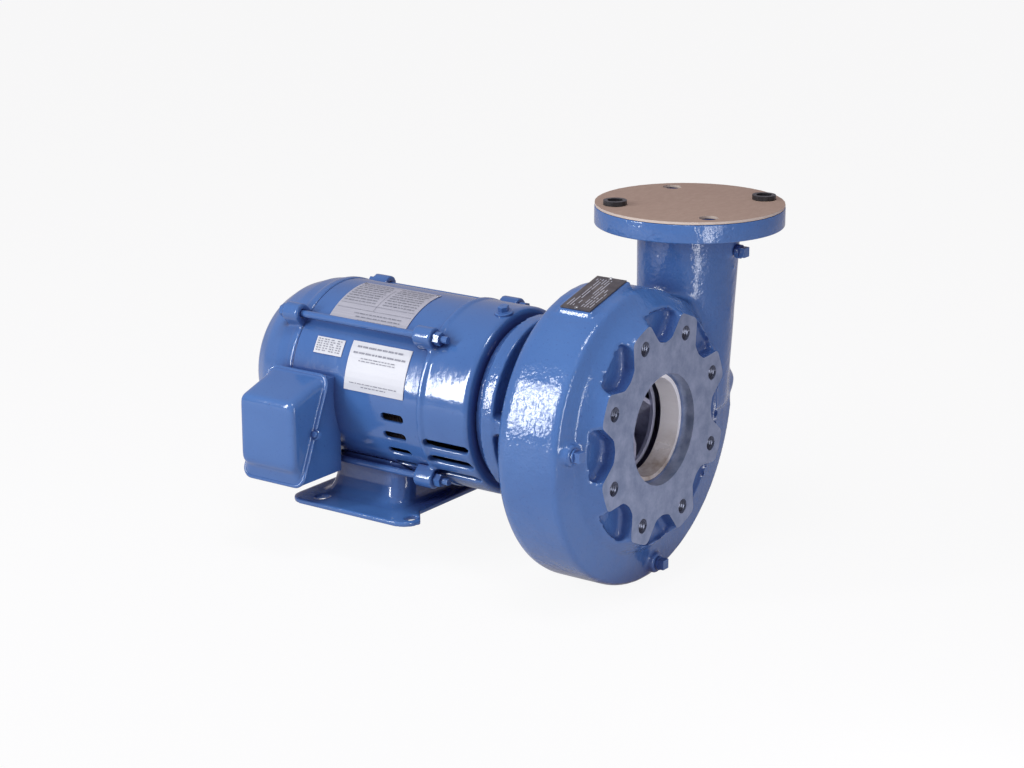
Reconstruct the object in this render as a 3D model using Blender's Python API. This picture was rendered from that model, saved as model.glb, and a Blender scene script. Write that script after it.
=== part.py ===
# Close-coupled end-suction centrifugal pump with a foot-mounted open drip-proof motor.
# Metres, +Z up. +X runs along the shaft and out of the suction flange, and -Y is the side of the
# terminal box. The origin is on the underside of the motor's base, below the shaft. Unless a name
# says otherwise, heights and radii are measured from the shaft's centre line.
import bmesh
import bpy
from math import acos, cos, log, pi, radians, sin, tau
from mathutils import Vector

# Shaft line and clearances
SHAFT_HEIGHT = 0.1143
SEAT_GAP = 0.0003
OVERRUN = 0.0040
BEARING_GAP = 0.0005
RUNNING_GAP = 0.0055

# Suction flange: a machined star with tapped holes on its lobes
SUCTION_FACE_X = 0.2460
SUCTION_HOLES = 8
SUCTION_BOLT_RADIUS = 0.09525
SUCTION_HOLE_RADIUS = 0.0074
SUCTION_HOLE_DEPTH = 0.0130
STAR_TIP_RADIUS = 0.1125
STAR_TIP_HALF_WIDTH = 0.0175
STAR_TIP_ROUND = 0.0065
STAR_VALLEY_RADIUS = 0.0865
STAR_ROOT_HALF_WIDTH = 0.0235
POCKET_DEPTH = 0.0150
POCKET_RADIUS = 0.1165
POCKET_HALF_ANGLE = radians(12)
POCKET_STATIONS = 4
COUNTERBORE_STEP = 0.0020
COUNTERBORE_DEPTH = 0.0135

# Volute casing
CASING_BACK_X = 0.1480
CASING_RIM_X = 0.2205
CASING_EDGE_ROUND = 0.0060
CASING_BACK_ROUND = 0.0140
CASING_BACK_STATIONS = 3
DOME_FOOT_X = 0.2255
DOME_FOOT_RADIUS = 0.1265
DOME_EDGE_X = 0.2370
DOME_EDGE_RADIUS = 0.1175
DOME_TOP_X = 0.2430
DOME_TOP_RADIUS = 0.1142
CASING_CORE_RADIUS = 0.0400
VOLUTE_START_RADIUS = 0.1300
VOLUTE_END_RADIUS = 0.1750
VOLUTE_START_ANGLE = radians(60)
VOLUTE_SWEEP = radians(300)
CASING_WALL = 0.0095
CHAMBER_ROUND = 0.0080
CHAMBER_FRONT_X = 0.2095

# Discharge neck and round flange
DISCHARGE_X = 0.1860
DISCHARGE_Y = 0.1385
DISCHARGE_RISE = 0.1890
FLANGE_RADIUS = 0.09525
FLANGE_THICKNESS = 0.0185
FLANGE_EDGE_ROUND = 0.0015
FLANGE_BOLT_RADIUS = 0.0762
FLANGE_HOLES = 4
FLANGE_HOLE_RADIUS = 0.0095
NECK_RADIUS = 0.0520
NECK_FOOT_RADIUS = 0.0465
NECK_FOOT_Y = 0.1290
NECK_FOOT_RISE = -0.0140
DISCHARGE_BORE_RADIUS = 0.0381
THROAT_RADIUS = 0.0245

# Bosses, plugs and the nameplate's pad
GAUGE_BOSS_RADIUS = 0.0150
GAUGE_BOSS_HEIGHT = 0.0300
GAUGE_PLUG_DROP = 0.0215
GAUGE_BOSS_STANDOUT = 0.0035
FRONT_BOSS_RADIUS = 0.0125
FRONT_BOSS_Y = 0.1610
FRONT_BOSS_RISE = 0.0070
FRONT_BOSS_X = 0.2245
PLUG_BOSS_RADIUS = 0.0105
PLUG_BOSS_X = 0.2300
PLUG_BOSS_INSET = 0.0160
VENT_ANGLE = radians(178)
DRAIN_ANGLE = radians(277.5)
PLUG_HEAD_SIDE = 0.0095
PLUG_HEAD_LENGTH = 0.0065
PLUG_COLLAR_RADIUS = 0.0072
PLUG_COLLAR_LENGTH = 0.0020
GAUGE_COLLAR_LENGTH = 0.0045
PAD_ANGLE = radians(104.87)
PAD_RISE = 0.1385
PAD_X = 0.1885
PAD_OFFSET = 0.0026
PAD_MARGIN = 0.0025
PAD_DEPTH = 0.0200
PLATE_LENGTH = 0.0655
PLATE_WIDTH = 0.0335
PLATE_THICKNESS = 0.0012

# Wear ring
RING_OUTER_RADIUS = 0.0530
RING_WALL = 0.0042
RING_LENGTH = 0.0210

# Impeller
IMPELLER_RADIUS = 0.1085
SHROUD_THICKNESS = 0.0045
EYE_STEP = 0.0023
OUTLET_WIDTH = 0.0190
HUB_RADIUS = 0.0200
HUB_LENGTH = 0.0300
HUB_FLARE = 0.0080
VANES = 5
VANE_THICKNESS = 0.0042
VANE_START_RADIUS = 0.0190
VANE_WRAP = radians(115)
VANE_STATIONS = 7
SHROUD_STATIONS = 5

# Discharge cover and its bolts
COVER_RADIUS = 0.0950
COVER_THICKNESS = 0.0025
COVER_BOLT_HEAD_RADIUS = 0.0120
COVER_BOLT_HEAD_HEIGHT = 0.0045
COVER_BOLT_SHANK_RADIUS = 0.0078
COVER_BOLT_SHANK_LENGTH = 0.0190
COVER_BOLT_RECESS = 0.0020

# Adapter between motor and pump
ADAPTER_RING_RADIUS = 0.0900
ADAPTER_RING_LENGTH = 0.0155
ADAPTER_GROOVE_RADIUS = 0.0835
ADAPTER_GROOVE_LENGTH = 0.0102
ADAPTER_BORE_RADIUS = 0.0600
ADAPTER_FLANGE_RADIUS = 0.1000
ADAPTER_FLANGE_THICKNESS = 0.0090
ADAPTER_REGISTER_RADIUS = 0.0925
ADAPTER_ARMS = 4
ADAPTER_ARM_OUTER_RADIUS = 0.0885
ADAPTER_ARM_DEPTH = 0.0120
ADAPTER_ARM_WIDTH = 0.0140
GLAND_RADIUS = 0.0380
GLAND_LENGTH = 0.0100

# Shaft, shaft nut and slinger
SHAFT_RADIUS = 0.0143
SHAFT_REAR_X = -0.1950
SHAFT_NUT_RADIUS = 0.0180
SHAFT_NUT_LENGTH = 0.0100
SHAFT_NUT_TIP_RADIUS = 0.0080
SHAFT_NUT_TIP_LENGTH = 0.0050
SLINGER_RADIUS = 0.0300
SLINGER_THICKNESS = 0.0050
SLINGER_X = 0.1150

# Motor barrel and end brackets
FRAME_RADIUS = 0.0935
FRAME_WALL = 0.0030
FRAME_REAR_X = -0.1416
FRAME_FRONT_X = 0.0185
FRAME_SLOTS = 4
FRAME_SLOT_FIRST_ANGLE = radians(187)
FRAME_SLOT_PITCH = radians(12.5)
FRAME_SLOT_LENGTH = 0.0275
FRAME_SLOT_WIDTH = 0.0085
FRAME_SLOT_X = -0.0140
BRACKET_FRONT_X = 0.0810
BRACKET_STANDOUT = 0.0017
BRACKET_WALL = 0.0065
BRACKET_BAND_STANDOUT = 0.0013
BRACKET_BAND_WIDTH = 0.0060
BRACKET_EDGE_ROUND = 0.0050
BEARING_HUB_RADIUS = 0.0340
BEARING_HUB_LENGTH = 0.0240
BRACKET_SLOTS = 3
BRACKET_SLOT_FIRST_ANGLE = radians(198.5)
BRACKET_SLOT_PITCH = radians(12.5)
BRACKET_SLOT_WIDTH = 0.0085
BRACKET_SLOT_MARGIN = 0.0040
REAR_DEPTH = 0.0790
REAR_WALL = 0.0070
REAR_BAND_WIDTH = 0.0080
REAR_BAND_STANDOUT = 0.0010
REAR_FACE_RADIUS = 0.0400
REAR_POCKET_RADIUS = 0.0170
REAR_POCKET_STEP = 0.0015
REAR_STATIONS = 5

# Through bolts outside the barrel
BOLTS = 4
BOLT_STANDOUT = 0.0095
BOLT_RADIUS = 0.0036
BOLT_HEAD_RADIUS = 0.0070
BOLT_HEAD_LENGTH = 0.0060
BOLT_NUT_LENGTH = 0.0075
BOLT_TAIL_LENGTH = 0.0080
LUG_RADIUS = 0.0100
LUG_ROOT = 0.0130
LUG_STATIONS = 8
LUG_LENGTH = 0.0220
LUG_OVERHANG = 0.0145
REAR_LUG_LENGTH = 0.0200

# Stator and rotor inside the barrel
CORE_BORE_RADIUS = 0.0525
CORE_LENGTH = 0.0900
CORE_REAR_X = -0.1300
WINDING_CLEARANCE = 0.0105
WINDING_WALL = 0.0180
WINDING_LENGTH = 0.0240
ROTOR_RADIUS = 0.0470
ROTOR_END_RADIUS = 0.0420
ROTOR_END_LENGTH = 0.0120

# Base
BASE_REAR_X = -0.1330
BASE_FRONT_X = 0.0225
BASE_LIP_X = 0.0050
BASE_LIP_HALF_WIDTH = 0.0725
BASE_LIP_SPREAD = 0.0225
BASE_HALF_WIDTH = 0.1155
BASE_PLATE = 0.0050
BASE_WALL = 0.0045
BASE_CORNER_ROUND = 0.0180
SADDLE_HEIGHT = 0.0480
SADDLE_FRONT_INSET = 0.0390
SADDLE_REAR_INSET = 0.0210
SADDLE_SIDE_INSET = 0.0480
SADDLE_END_FLARE = 0.0060
SADDLE_SIDE_FLARE = 0.0170
SADDLE_STATIONS = 5
FOOT_HOLE_HALF_SPAN = 0.09525
FOOT_HOLE_PITCH = 0.1143
FOOT_HOLE_FRONT_X = 0.0115
FOOT_SLOT_LENGTH = 0.0160
FOOT_SLOT_WIDTH = 0.0104

# Terminal box, in heights above the floor
BOX_REAR_X = -0.1615
BOX_FRONT_X = -0.0835
BOX_FACE_Y = -0.1570
BOX_RIM_TOP = (-0.1020, 0.1365)
BOX_RIM_BOTTOM = (-0.1470, 0.0305)
BOX_RIM_THICKNESS = 0.0040
BOX_RIM_WIDTH = 0.0030
BOX_FACE_LOW = 0.0440
BOX_FACE_HIGH = 0.1240
BOX_FACE_ROUND = 0.0050
BOX_CORNER_ROUND = 0.0110
BOX_BACK_Y = -0.0840

# Plates and labels on the barrel
LABEL_THICKNESS = 0.0006
LABEL_STEP = radians(4)
NAMEPLATE_SPAN_X = (-0.1170, -0.0195)
NAMEPLATE_SPAN_ANGLE = (radians(90.5), radians(134))
RATING_SPAN_X = (-0.1185, -0.0830)
RATING_SPAN_ANGLE = (radians(145), radians(155.5))
SQUARE_SPAN_X = (-0.0735, 0.0008)
SQUARE_SPAN_ANGLE = (radians(143.5), radians(174))

# Facets
ROUND_SEGMENTS = 48
NECK_SEGMENTS = 40
SMALL_SEGMENTS = 16
BOLT_SEGMENTS = 12
SMOOTH_ANGLE = radians(32)
MERGE_SHARE = 0.01

# Worked out from the sizes above
POCKET_FLOOR_X = SUCTION_FACE_X - POCKET_DEPTH
COUNTERBORE_RADIUS = RING_OUTER_RADIUS + COUNTERBORE_STEP
RING_BORE_RADIUS = RING_OUTER_RADIUS - RING_WALL
EYE_RADIUS = RING_BORE_RADIUS - EYE_STEP
BRACKET_RADIUS = FRAME_RADIUS + BRACKET_STANDOUT
BRACKET_BAND_RADIUS = BRACKET_RADIUS + BRACKET_BAND_STANDOUT
BOLT_CIRCLE_RADIUS = FRAME_RADIUS + BOLT_STANDOUT
WINDING_RADIUS = FRAME_RADIUS - FRAME_WALL - WINDING_CLEARANCE
CHAMBER_BACK_X = CASING_BACK_X + CASING_WALL
RING_FRONT_X = SUCTION_FACE_X - COUNTERBORE_DEPTH
RING_REAR_X = RING_FRONT_X - RING_LENGTH
FLANGE_UNDER_RISE = DISCHARGE_RISE - FLANGE_THICKNESS
IMPELLER_BACK_X = CHAMBER_BACK_X + RUNNING_GAP
IMPELLER_EYE_X = CHAMBER_FRONT_X - RUNNING_GAP
IMPELLER_HUB_X = IMPELLER_BACK_X + HUB_LENGTH
ADAPTER_BACK_X = BRACKET_FRONT_X + SEAT_GAP
ADAPTER_RING_X = ADAPTER_BACK_X + ADAPTER_GROOVE_LENGTH
ADAPTER_RING_FRONT_X = ADAPTER_RING_X + ADAPTER_RING_LENGTH
ADAPTER_FLANGE_FRONT_X = CASING_BACK_X - SEAT_GAP
ADAPTER_FLANGE_BACK_X = ADAPTER_FLANGE_FRONT_X - ADAPTER_FLANGE_THICKNESS
BRACKET_BACK_X = FRAME_FRONT_X + SEAT_GAP
REAR_SEAM_X = FRAME_REAR_X - SEAT_GAP
LUG_BACK_X = FRAME_FRONT_X - LUG_OVERHANG
LUG_FRONT_X = LUG_BACK_X + LUG_LENGTH
REAR_LUG_X = REAR_SEAM_X - REAR_LUG_LENGTH
SHAFT_BORE_RADIUS = SHAFT_RADIUS + BEARING_GAP


# General tools

def remove_everything():
    for item in list(bpy.data.objects):
        bpy.data.objects.remove(item, do_unlink=True)


def paint(name, colour, roughness, metallic=0.0):
    """A Principled material, made once for each name."""
    look = bpy.data.materials.get(name) or bpy.data.materials.new(name)
    look.use_nodes = True
    shader = look.node_tree.nodes["Principled BSDF"]
    shader.inputs["Base Color"].default_value = (*colour, 1)
    shader.inputs["Roughness"].default_value = roughness
    shader.inputs["Metallic"].default_value = metallic
    look.diffuse_color = (*colour, 1)
    return look


def blue_enamel():
    return paint("blue enamel", (0.080, 0.190, 0.480), 0.35)


def black_plastic():
    return paint("black plastic", (0.012, 0.012, 0.014), 0.40)


def cardboard():
    return paint("cardboard", (0.330, 0.240, 0.190), 0.85)


def turned_bronze():
    return paint("turned bronze", (0.480, 0.400, 0.300), 0.30, 1.0)


def cast_bronze():
    return paint("cast bronze", (0.100, 0.110, 0.160), 0.50, 1.0)


def ground_steel():
    return paint("ground steel", (0.420, 0.430, 0.450), 0.28, 1.0)


def black_rubber():
    return paint("black rubber", (0.015, 0.015, 0.016), 0.70)


def winding_varnish():
    return paint("winding varnish", (0.030, 0.018, 0.014), 0.45)


def plate_metal():
    return paint("plate metal", (0.500, 0.520, 0.580), 0.35, 0.6)


def dark_plate():
    return paint("dark plate", (0.110, 0.100, 0.105), 0.40, 0.5)


def white_film():
    return paint("white film", (0.780, 0.790, 0.820), 0.45)


def shade(mesh):
    mesh.shade_smooth()
    mesh.set_sharp_from_angle(angle=SMOOTH_ANGLE)


def finish(name, mesh_data, look):
    """Turn a bmesh into an object in the scene, faces out and round sides smooth."""
    bmesh.ops.remove_doubles(mesh_data, verts=mesh_data.verts, dist=SEAT_GAP * MERGE_SHARE)
    bmesh.ops.recalc_face_normals(mesh_data, faces=mesh_data.faces)
    mesh = bpy.data.meshes.new(name)
    mesh_data.to_mesh(mesh)
    mesh_data.free()
    item = bpy.data.objects.new(name, mesh)
    bpy.context.scene.collection.objects.link(item)
    mesh.materials.append(look)
    shade(mesh)
    return item


def on_shaft(item, turn=0):
    """Carry an object modelled about the shaft up to the shaft's height."""
    item.location = (0, 0, SHAFT_HEIGHT)
    item.rotation_euler = (turn, 0, 0)
    return item


def merge_close_points(mesh):
    """Two surfaces that cross at a corner leave points a hair apart: make each such pair one."""
    mesh_data = bmesh.new()
    mesh_data.from_mesh(mesh)
    bmesh.ops.remove_doubles(mesh_data, verts=mesh_data.verts, dist=SEAT_GAP * MERGE_SHARE)
    mesh_data.to_mesh(mesh)
    mesh_data.free()


def combine(target, tool, operation):
    """Join or cut with another object, which is used up."""
    step = target.modifiers.new(operation.title(), "BOOLEAN")
    step.operation = operation
    step.solver = "EXACT"
    step.object = tool
    bpy.context.view_layer.update()
    shaped = bpy.data.meshes.new_from_object(
        target.evaluated_get(bpy.context.evaluated_depsgraph_get()))
    target.modifiers.clear()
    target.data = shaped
    bpy.data.objects.remove(tool, do_unlink=True)
    merge_close_points(shaped)
    shade(shaped)
    return target


def join(target, *tools):
    for tool in tools:
        combine(target, tool, "UNION")
    return target


def cut(target, *tools):
    for tool in tools:
        combine(target, tool, "DIFFERENCE")
    return target


def turned(name, profile, look, segments=ROUND_SEGMENTS):
    """Spin an outline of (x, radius) points once around the shaft's line."""
    mesh_data = bmesh.new()
    points = [mesh_data.verts.new((x, 0, radius)) for x, radius in profile]
    edges = [mesh_data.edges.new(pair) for pair in zip(points, points[1:])]
    if profile[0][1] > 0 or profile[-1][1] > 0:
        edges.append(mesh_data.edges.new((points[-1], points[0])))
    bmesh.ops.spin(mesh_data, geom=points + edges, cent=(0, 0, 0), axis=(1, 0, 0), angle=tau,
                   steps=segments, use_merge=True)
    return finish(name, mesh_data, look)


def lofted(name, rings, look, closed=False):
    """Skin rings of equal point counts, capped at both ends or closed on themselves."""
    mesh_data = bmesh.new()
    loops = [[mesh_data.verts.new(point) for point in ring] for ring in rings]
    pairs = list(zip(loops, loops[1:]))
    if closed:
        pairs.append((loops[-1], loops[0]))
    else:
        mesh_data.faces.new(loops[0])
        mesh_data.faces.new(loops[-1])
    for here, there in pairs:
        for i in range(len(here)):
            j = (i + 1) % len(here)
            mesh_data.faces.new((here[i], here[j], there[j], there[i]))
    return finish(name, mesh_data, look)


def prism(name, outline, start, end, look):
    """Extrude an outline of (y, z) points along X."""
    return lofted(name, [[(x, y, z) for y, z in outline] for x in (start, end)], look)


def circle(radius, segments, centre=(0, 0), turn=0):
    return [(centre[0] + radius * cos(turn + tau * i / segments),
             centre[1] + radius * sin(turn + tau * i / segments)) for i in range(segments)]


def rounded_rectangle(left, right, low, high, radius, steps=4):
    """Four corner arcs joined by straight sides, as (u, v) points."""
    corners = ((right - radius, high - radius), (left + radius, high - radius),
               (left + radius, low + radius), (right - radius, low + radius))
    return [(u + radius * cos(pi / 2 * (quarter + i / steps)),
             v + radius * sin(pi / 2 * (quarter + i / steps)))
            for quarter, (u, v) in enumerate(corners) for i in range(steps + 1)]


def rod(name, radius, start, end, look, centre=(0, 0), segments=SMALL_SEGMENTS, turn=0):
    """Bar along X through a (y, z) centre."""
    return prism(name, circle(radius, segments, centre, turn), start, end, look)


def post(name, levels, look, segments=NECK_SEGMENTS):
    """Upright round body from (z, radius, x, y) levels."""
    rings = [[(x, y, z) for x, y in circle(radius, segments, (centre_x, centre_y))]
             for z, radius, centre_x, centre_y in levels]
    return lofted(name, rings, look)


def polar(radius, angle):
    return radius * cos(angle), radius * sin(angle)


# Volute casing

def volute_radius(angle):
    """Outer radius of the spiral, which grows from the tongue round to the discharge."""
    share = ((angle - VOLUTE_START_ANGLE) % tau) / VOLUTE_SWEEP
    growth = VOLUTE_END_RADIUS - VOLUTE_START_RADIUS
    if share <= 1:
        return VOLUTE_START_RADIUS + growth * share
    fall = (share - 1) * VOLUTE_SWEEP / (tau - VOLUTE_SWEEP)
    return VOLUTE_END_RADIUS - growth * fall


def casing_section(angle):
    """The casing's outside at one angle, as (x, radius) points: broadly rounded back edge,
    front rim, sloping band, and the dome that carries the star."""
    outer = volute_radius(angle)
    edge = CASING_EDGE_ROUND
    points = [(CASING_BACK_X, CASING_CORE_RADIUS)]
    for i in range(CASING_BACK_STATIONS + 1):
        turn = pi / 2 * i / CASING_BACK_STATIONS
        points.append((CASING_BACK_X + CASING_BACK_ROUND * (1 - cos(turn)),
                       outer - CASING_BACK_ROUND * (1 - sin(turn))))
    points += [(CASING_RIM_X - edge, outer),
               (CASING_RIM_X - edge / 3, outer - edge / 6),
               (CASING_RIM_X, outer - edge / 2),
               (DOME_FOOT_X, DOME_FOOT_RADIUS),
               (DOME_EDGE_X, DOME_EDGE_RADIUS),
               (DOME_TOP_X, DOME_TOP_RADIUS),
               (DOME_TOP_X, CASING_CORE_RADIUS)]
    return points


def chamber_section(angle):
    """The passage inside the casing at one angle."""
    reach = volute_radius(angle) - CASING_WALL
    core = (CASING_CORE_RADIUS + RING_OUTER_RADIUS) / 2
    return ((CHAMBER_BACK_X, core),
            (CHAMBER_BACK_X, reach - CHAMBER_ROUND),
            (CHAMBER_BACK_X + CHAMBER_ROUND, reach),
            (CHAMBER_FRONT_X - CHAMBER_ROUND, reach),
            (CHAMBER_FRONT_X, reach - CHAMBER_ROUND),
            (CHAMBER_FRONT_X, core))


def spiral(name, section, look):
    """Sweep a section that depends on the angle once around the shaft."""
    rings = []
    for i in range(ROUND_SEGMENTS):
        angle = tau * (i + 1 / 2) / ROUND_SEGMENTS
        rings.append([(x, *polar(radius, angle)) for x, radius in section(angle)])
    return lofted(name, rings, look, closed=True)


def star_outline():
    """Lobes with rounded tips around the suction holes, and valleys between them."""
    soft = STAR_TIP_ROUND * (1 - cos(pi / 4))
    flank = ((STAR_VALLEY_RADIUS, STAR_ROOT_HALF_WIDTH),
             (STAR_TIP_RADIUS - STAR_TIP_ROUND, STAR_TIP_HALF_WIDTH),
             (STAR_TIP_RADIUS - soft, STAR_TIP_HALF_WIDTH - soft),
             (STAR_TIP_RADIUS, STAR_TIP_HALF_WIDTH - STAR_TIP_ROUND))
    points = []
    for i in range(SUCTION_HOLES):
        angle = tau * (i + 1 / 2) / SUCTION_HOLES
        out = Vector(polar(1, angle))
        side = Vector(polar(1, angle + pi / 2))
        points += [tuple(out * radius - side * half) for radius, half in flank]
        points += [tuple(out * radius + side * half) for radius, half in reversed(flank)]
        points.append(polar(STAR_VALLEY_RADIUS, angle + pi / SUCTION_HOLES))
    return points


def pocket_outline(index):
    """Pocket between two lobes: an arc on the outside, and sides that run inside the lobes' flanks,
    which the star fills again."""
    middle = tau * index / SUCTION_HOLES
    inset = (STAR_ROOT_HALF_WIDTH - STAR_TIP_HALF_WIDTH) / 4
    points = []
    for i in range(POCKET_STATIONS + 1):
        points.append(polar(POCKET_RADIUS, middle + POCKET_HALF_ANGLE * (2 * i / POCKET_STATIONS - 1)))
    for side, lobe in ((-1, 1 / 2), (1, -1 / 2)):
        out = Vector(polar(1, middle + tau * lobe / SUCTION_HOLES))
        across = Vector((-out.y, out.x)) * side
        flank = ((STAR_TIP_RADIUS - STAR_TIP_ROUND, STAR_TIP_HALF_WIDTH - inset),
                 (STAR_VALLEY_RADIUS - OVERRUN, STAR_ROOT_HALF_WIDTH - inset))
        points += [tuple(out * radius + across * half) for radius, half in flank[::-side]]
    return points


def star_pockets(look):
    return [prism("pocket", pocket_outline(i), POCKET_FLOOR_X, SUCTION_FACE_X + OVERRUN, look)
            for i in range(SUCTION_HOLES)]


def discharge_neck(look):
    """Tapering neck that leans a little, with the flange on it."""
    neck = post("neck", ((NECK_FOOT_RISE, NECK_FOOT_RADIUS, DISCHARGE_X, NECK_FOOT_Y),
                         (FLANGE_UNDER_RISE + FLANGE_THICKNESS / 2, NECK_RADIUS, DISCHARGE_X,
                          DISCHARGE_Y)), look)
    edge = FLANGE_EDGE_ROUND
    levels = ((FLANGE_UNDER_RISE, FLANGE_RADIUS - edge),
              (FLANGE_UNDER_RISE + edge, FLANGE_RADIUS),
              (DISCHARGE_RISE - edge, FLANGE_RADIUS),
              (DISCHARGE_RISE, FLANGE_RADIUS - edge))
    flange = post("flange", [(z, radius, DISCHARGE_X, DISCHARGE_Y) for z, radius in levels], look)
    return join(neck, flange)


def gauge_boss_x():
    return DISCHARGE_X + NECK_RADIUS + GAUGE_BOSS_STANDOUT - GAUGE_BOSS_RADIUS


def gauge_boss(look):
    """Boss for the gauge tapping, on the front of the neck under the flange."""
    low = FLANGE_UNDER_RISE - GAUGE_BOSS_HEIGHT
    levels = ((low, GAUGE_BOSS_RADIUS * 2 / 3, gauge_boss_x() - GAUGE_BOSS_RADIUS / 2, DISCHARGE_Y),
              (low + GAUGE_BOSS_RADIUS / 3, GAUGE_BOSS_RADIUS, gauge_boss_x(), DISCHARGE_Y),
              (FLANGE_UNDER_RISE + OVERRUN, GAUGE_BOSS_RADIUS, gauge_boss_x(), DISCHARGE_Y))
    return post("gauge boss", levels, look, SMALL_SEGMENTS)


def plug_boss_centre(angle):
    return polar(volute_radius(angle) - PLUG_BOSS_INSET, angle)


def front_bosses(look):
    """Round cast bosses that stand forward on the front band."""
    bosses = [rod("front boss", FRONT_BOSS_RADIUS, CASING_RIM_X - CASING_EDGE_ROUND, FRONT_BOSS_X,
                  look, (FRONT_BOSS_Y, FRONT_BOSS_RISE))]
    for angle in (VENT_ANGLE, DRAIN_ANGLE):
        bosses.append(rod("plug boss", PLUG_BOSS_RADIUS, CASING_RIM_X - CASING_EDGE_ROUND,
                          PLUG_BOSS_X, look, plug_boss_centre(angle)))
    return bosses


def pad_block(name, length, width, low, high, look):
    """Flat block tangent to the casing, at the nameplate's tilt."""
    rings = []
    for x in (PAD_X - width / 2, PAD_X + width / 2):
        ring = []
        for rise, along in ((low, -length / 2), (high, -length / 2), (high, length / 2),
                            (low, length / 2)):
            out = Vector(polar(rise, PAD_ANGLE))
            out += Vector(polar(along + PAD_OFFSET, PAD_ANGLE + pi / 2))
            ring.append((x, *out))
        rings.append(ring)
    return lofted(name, rings, look)


def casing_hollow(look):
    """Everything turned out of the casing about the shaft: the adapter's seat, the suction bore
    with the wear ring's seat, and the counterbore in the star's face."""
    middle = (CHAMBER_BACK_X + CHAMBER_FRONT_X) / 2
    seat = RING_OUTER_RADIUS + SEAT_GAP
    return turned("turned hollow",
                  ((CASING_BACK_X - OVERRUN, 0),
                   (CASING_BACK_X - OVERRUN, ADAPTER_REGISTER_RADIUS + SEAT_GAP),
                   (middle, ADAPTER_REGISTER_RADIUS + SEAT_GAP),
                   (middle, seat),
                   (RING_FRONT_X, seat),
                   (RING_FRONT_X, COUNTERBORE_RADIUS),
                   (SUCTION_FACE_X + OVERRUN, COUNTERBORE_RADIUS),
                   (SUCTION_FACE_X + OVERRUN, 0)), look)


def discharge_bore(look):
    """Round way from the spiral's end up through the flange."""
    throat_x = (CHAMBER_BACK_X + CHAMBER_FRONT_X) / 2
    throat_y = VOLUTE_END_RADIUS - CASING_WALL - THROAT_RADIUS
    return post("discharge bore", ((0, THROAT_RADIUS, throat_x, throat_y),
                                   (DISCHARGE_RISE + OVERRUN, DISCHARGE_BORE_RADIUS, DISCHARGE_X,
                                    DISCHARGE_Y)), look, NECK_SEGMENTS)


def suction_holes(look):
    holes = []
    for i in range(SUCTION_HOLES):
        centre = polar(SUCTION_BOLT_RADIUS, tau * (i + 1 / 2) / SUCTION_HOLES)
        holes.append(rod("suction hole", SUCTION_HOLE_RADIUS, SUCTION_FACE_X - SUCTION_HOLE_DEPTH,
                         SUCTION_FACE_X + OVERRUN, look, centre, BOLT_SEGMENTS))
    return holes


def flange_hole_centre(index):
    y_share, x_share = polar(1, tau * (index + 1 / 2) / FLANGE_HOLES)
    return DISCHARGE_X + FLANGE_BOLT_RADIUS * x_share, DISCHARGE_Y + FLANGE_BOLT_RADIUS * y_share


def flange_holes(look):
    holes = []
    for i in range(FLANGE_HOLES):
        x, y = flange_hole_centre(i)
        levels = [(z, FLANGE_HOLE_RADIUS, x, y)
                  for z in (FLANGE_UNDER_RISE - OVERRUN, DISCHARGE_RISE + OVERRUN)]
        holes.append(post("flange hole", levels, look, SMALL_SEGMENTS))
    return holes


def volute_casing():
    look = blue_enamel()
    casing = spiral("volute_casing", casing_section, look)
    join(casing, discharge_neck(look), gauge_boss(look))
    cut(casing, *star_pockets(look))
    join(casing, prism("star", star_outline(), POCKET_FLOOR_X - OVERRUN, SUCTION_FACE_X, look))
    join(casing, *front_bosses(look))
    join(casing, pad_block("pad", PLATE_LENGTH + 2 * PAD_MARGIN, PLATE_WIDTH + 2 * PAD_MARGIN,
                           PAD_RISE - PAD_DEPTH, PAD_RISE, look))
    cut(casing, spiral("chamber", chamber_section, look), casing_hollow(look), discharge_bore(look))
    cut(casing, *suction_holes(look), *flange_holes(look))
    return on_shaft(casing)


def pump_nameplate():
    low = PAD_RISE + SEAT_GAP
    return on_shaft(pad_block("pump_nameplate", PLATE_LENGTH, PLATE_WIDTH, low,
                              low + PLATE_THICKNESS, dark_plate()))


def wear_ring():
    return on_shaft(turned("wear_ring", ((RING_REAR_X, RING_BORE_RADIUS),
                                         (RING_REAR_X, RING_OUTER_RADIUS),
                                         (RING_FRONT_X, RING_OUTER_RADIUS),
                                         (RING_FRONT_X, RING_BORE_RADIUS)), turned_bronze()))


def plug(name, start, collar_length, centre):
    """Square-head pipe plug that stands out along X from the face at start."""
    look = blue_enamel()
    collar_end = start + collar_length
    collar = rod(name, PLUG_COLLAR_RADIUS, start, collar_end, look, centre, BOLT_SEGMENTS)
    head = rod("head", PLUG_HEAD_SIDE / 2 ** (1 / 2), collar_end - SEAT_GAP,
               collar_end + PLUG_HEAD_LENGTH, look, centre, 4, pi / 4)
    return on_shaft(join(collar, head))


def plugs():
    gauge_start = gauge_boss_x() + GAUGE_BOSS_RADIUS + SEAT_GAP
    gauge_rise = FLANGE_UNDER_RISE - GAUGE_PLUG_DROP
    plug("gauge_plug", gauge_start, GAUGE_COLLAR_LENGTH, (DISCHARGE_Y, gauge_rise))
    for name, angle in (("vent_plug", VENT_ANGLE), ("drain_plug", DRAIN_ANGLE)):
        plug(name, PLUG_BOSS_X + SEAT_GAP, PLUG_COLLAR_LENGTH, plug_boss_centre(angle))


# Discharge cover

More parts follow.
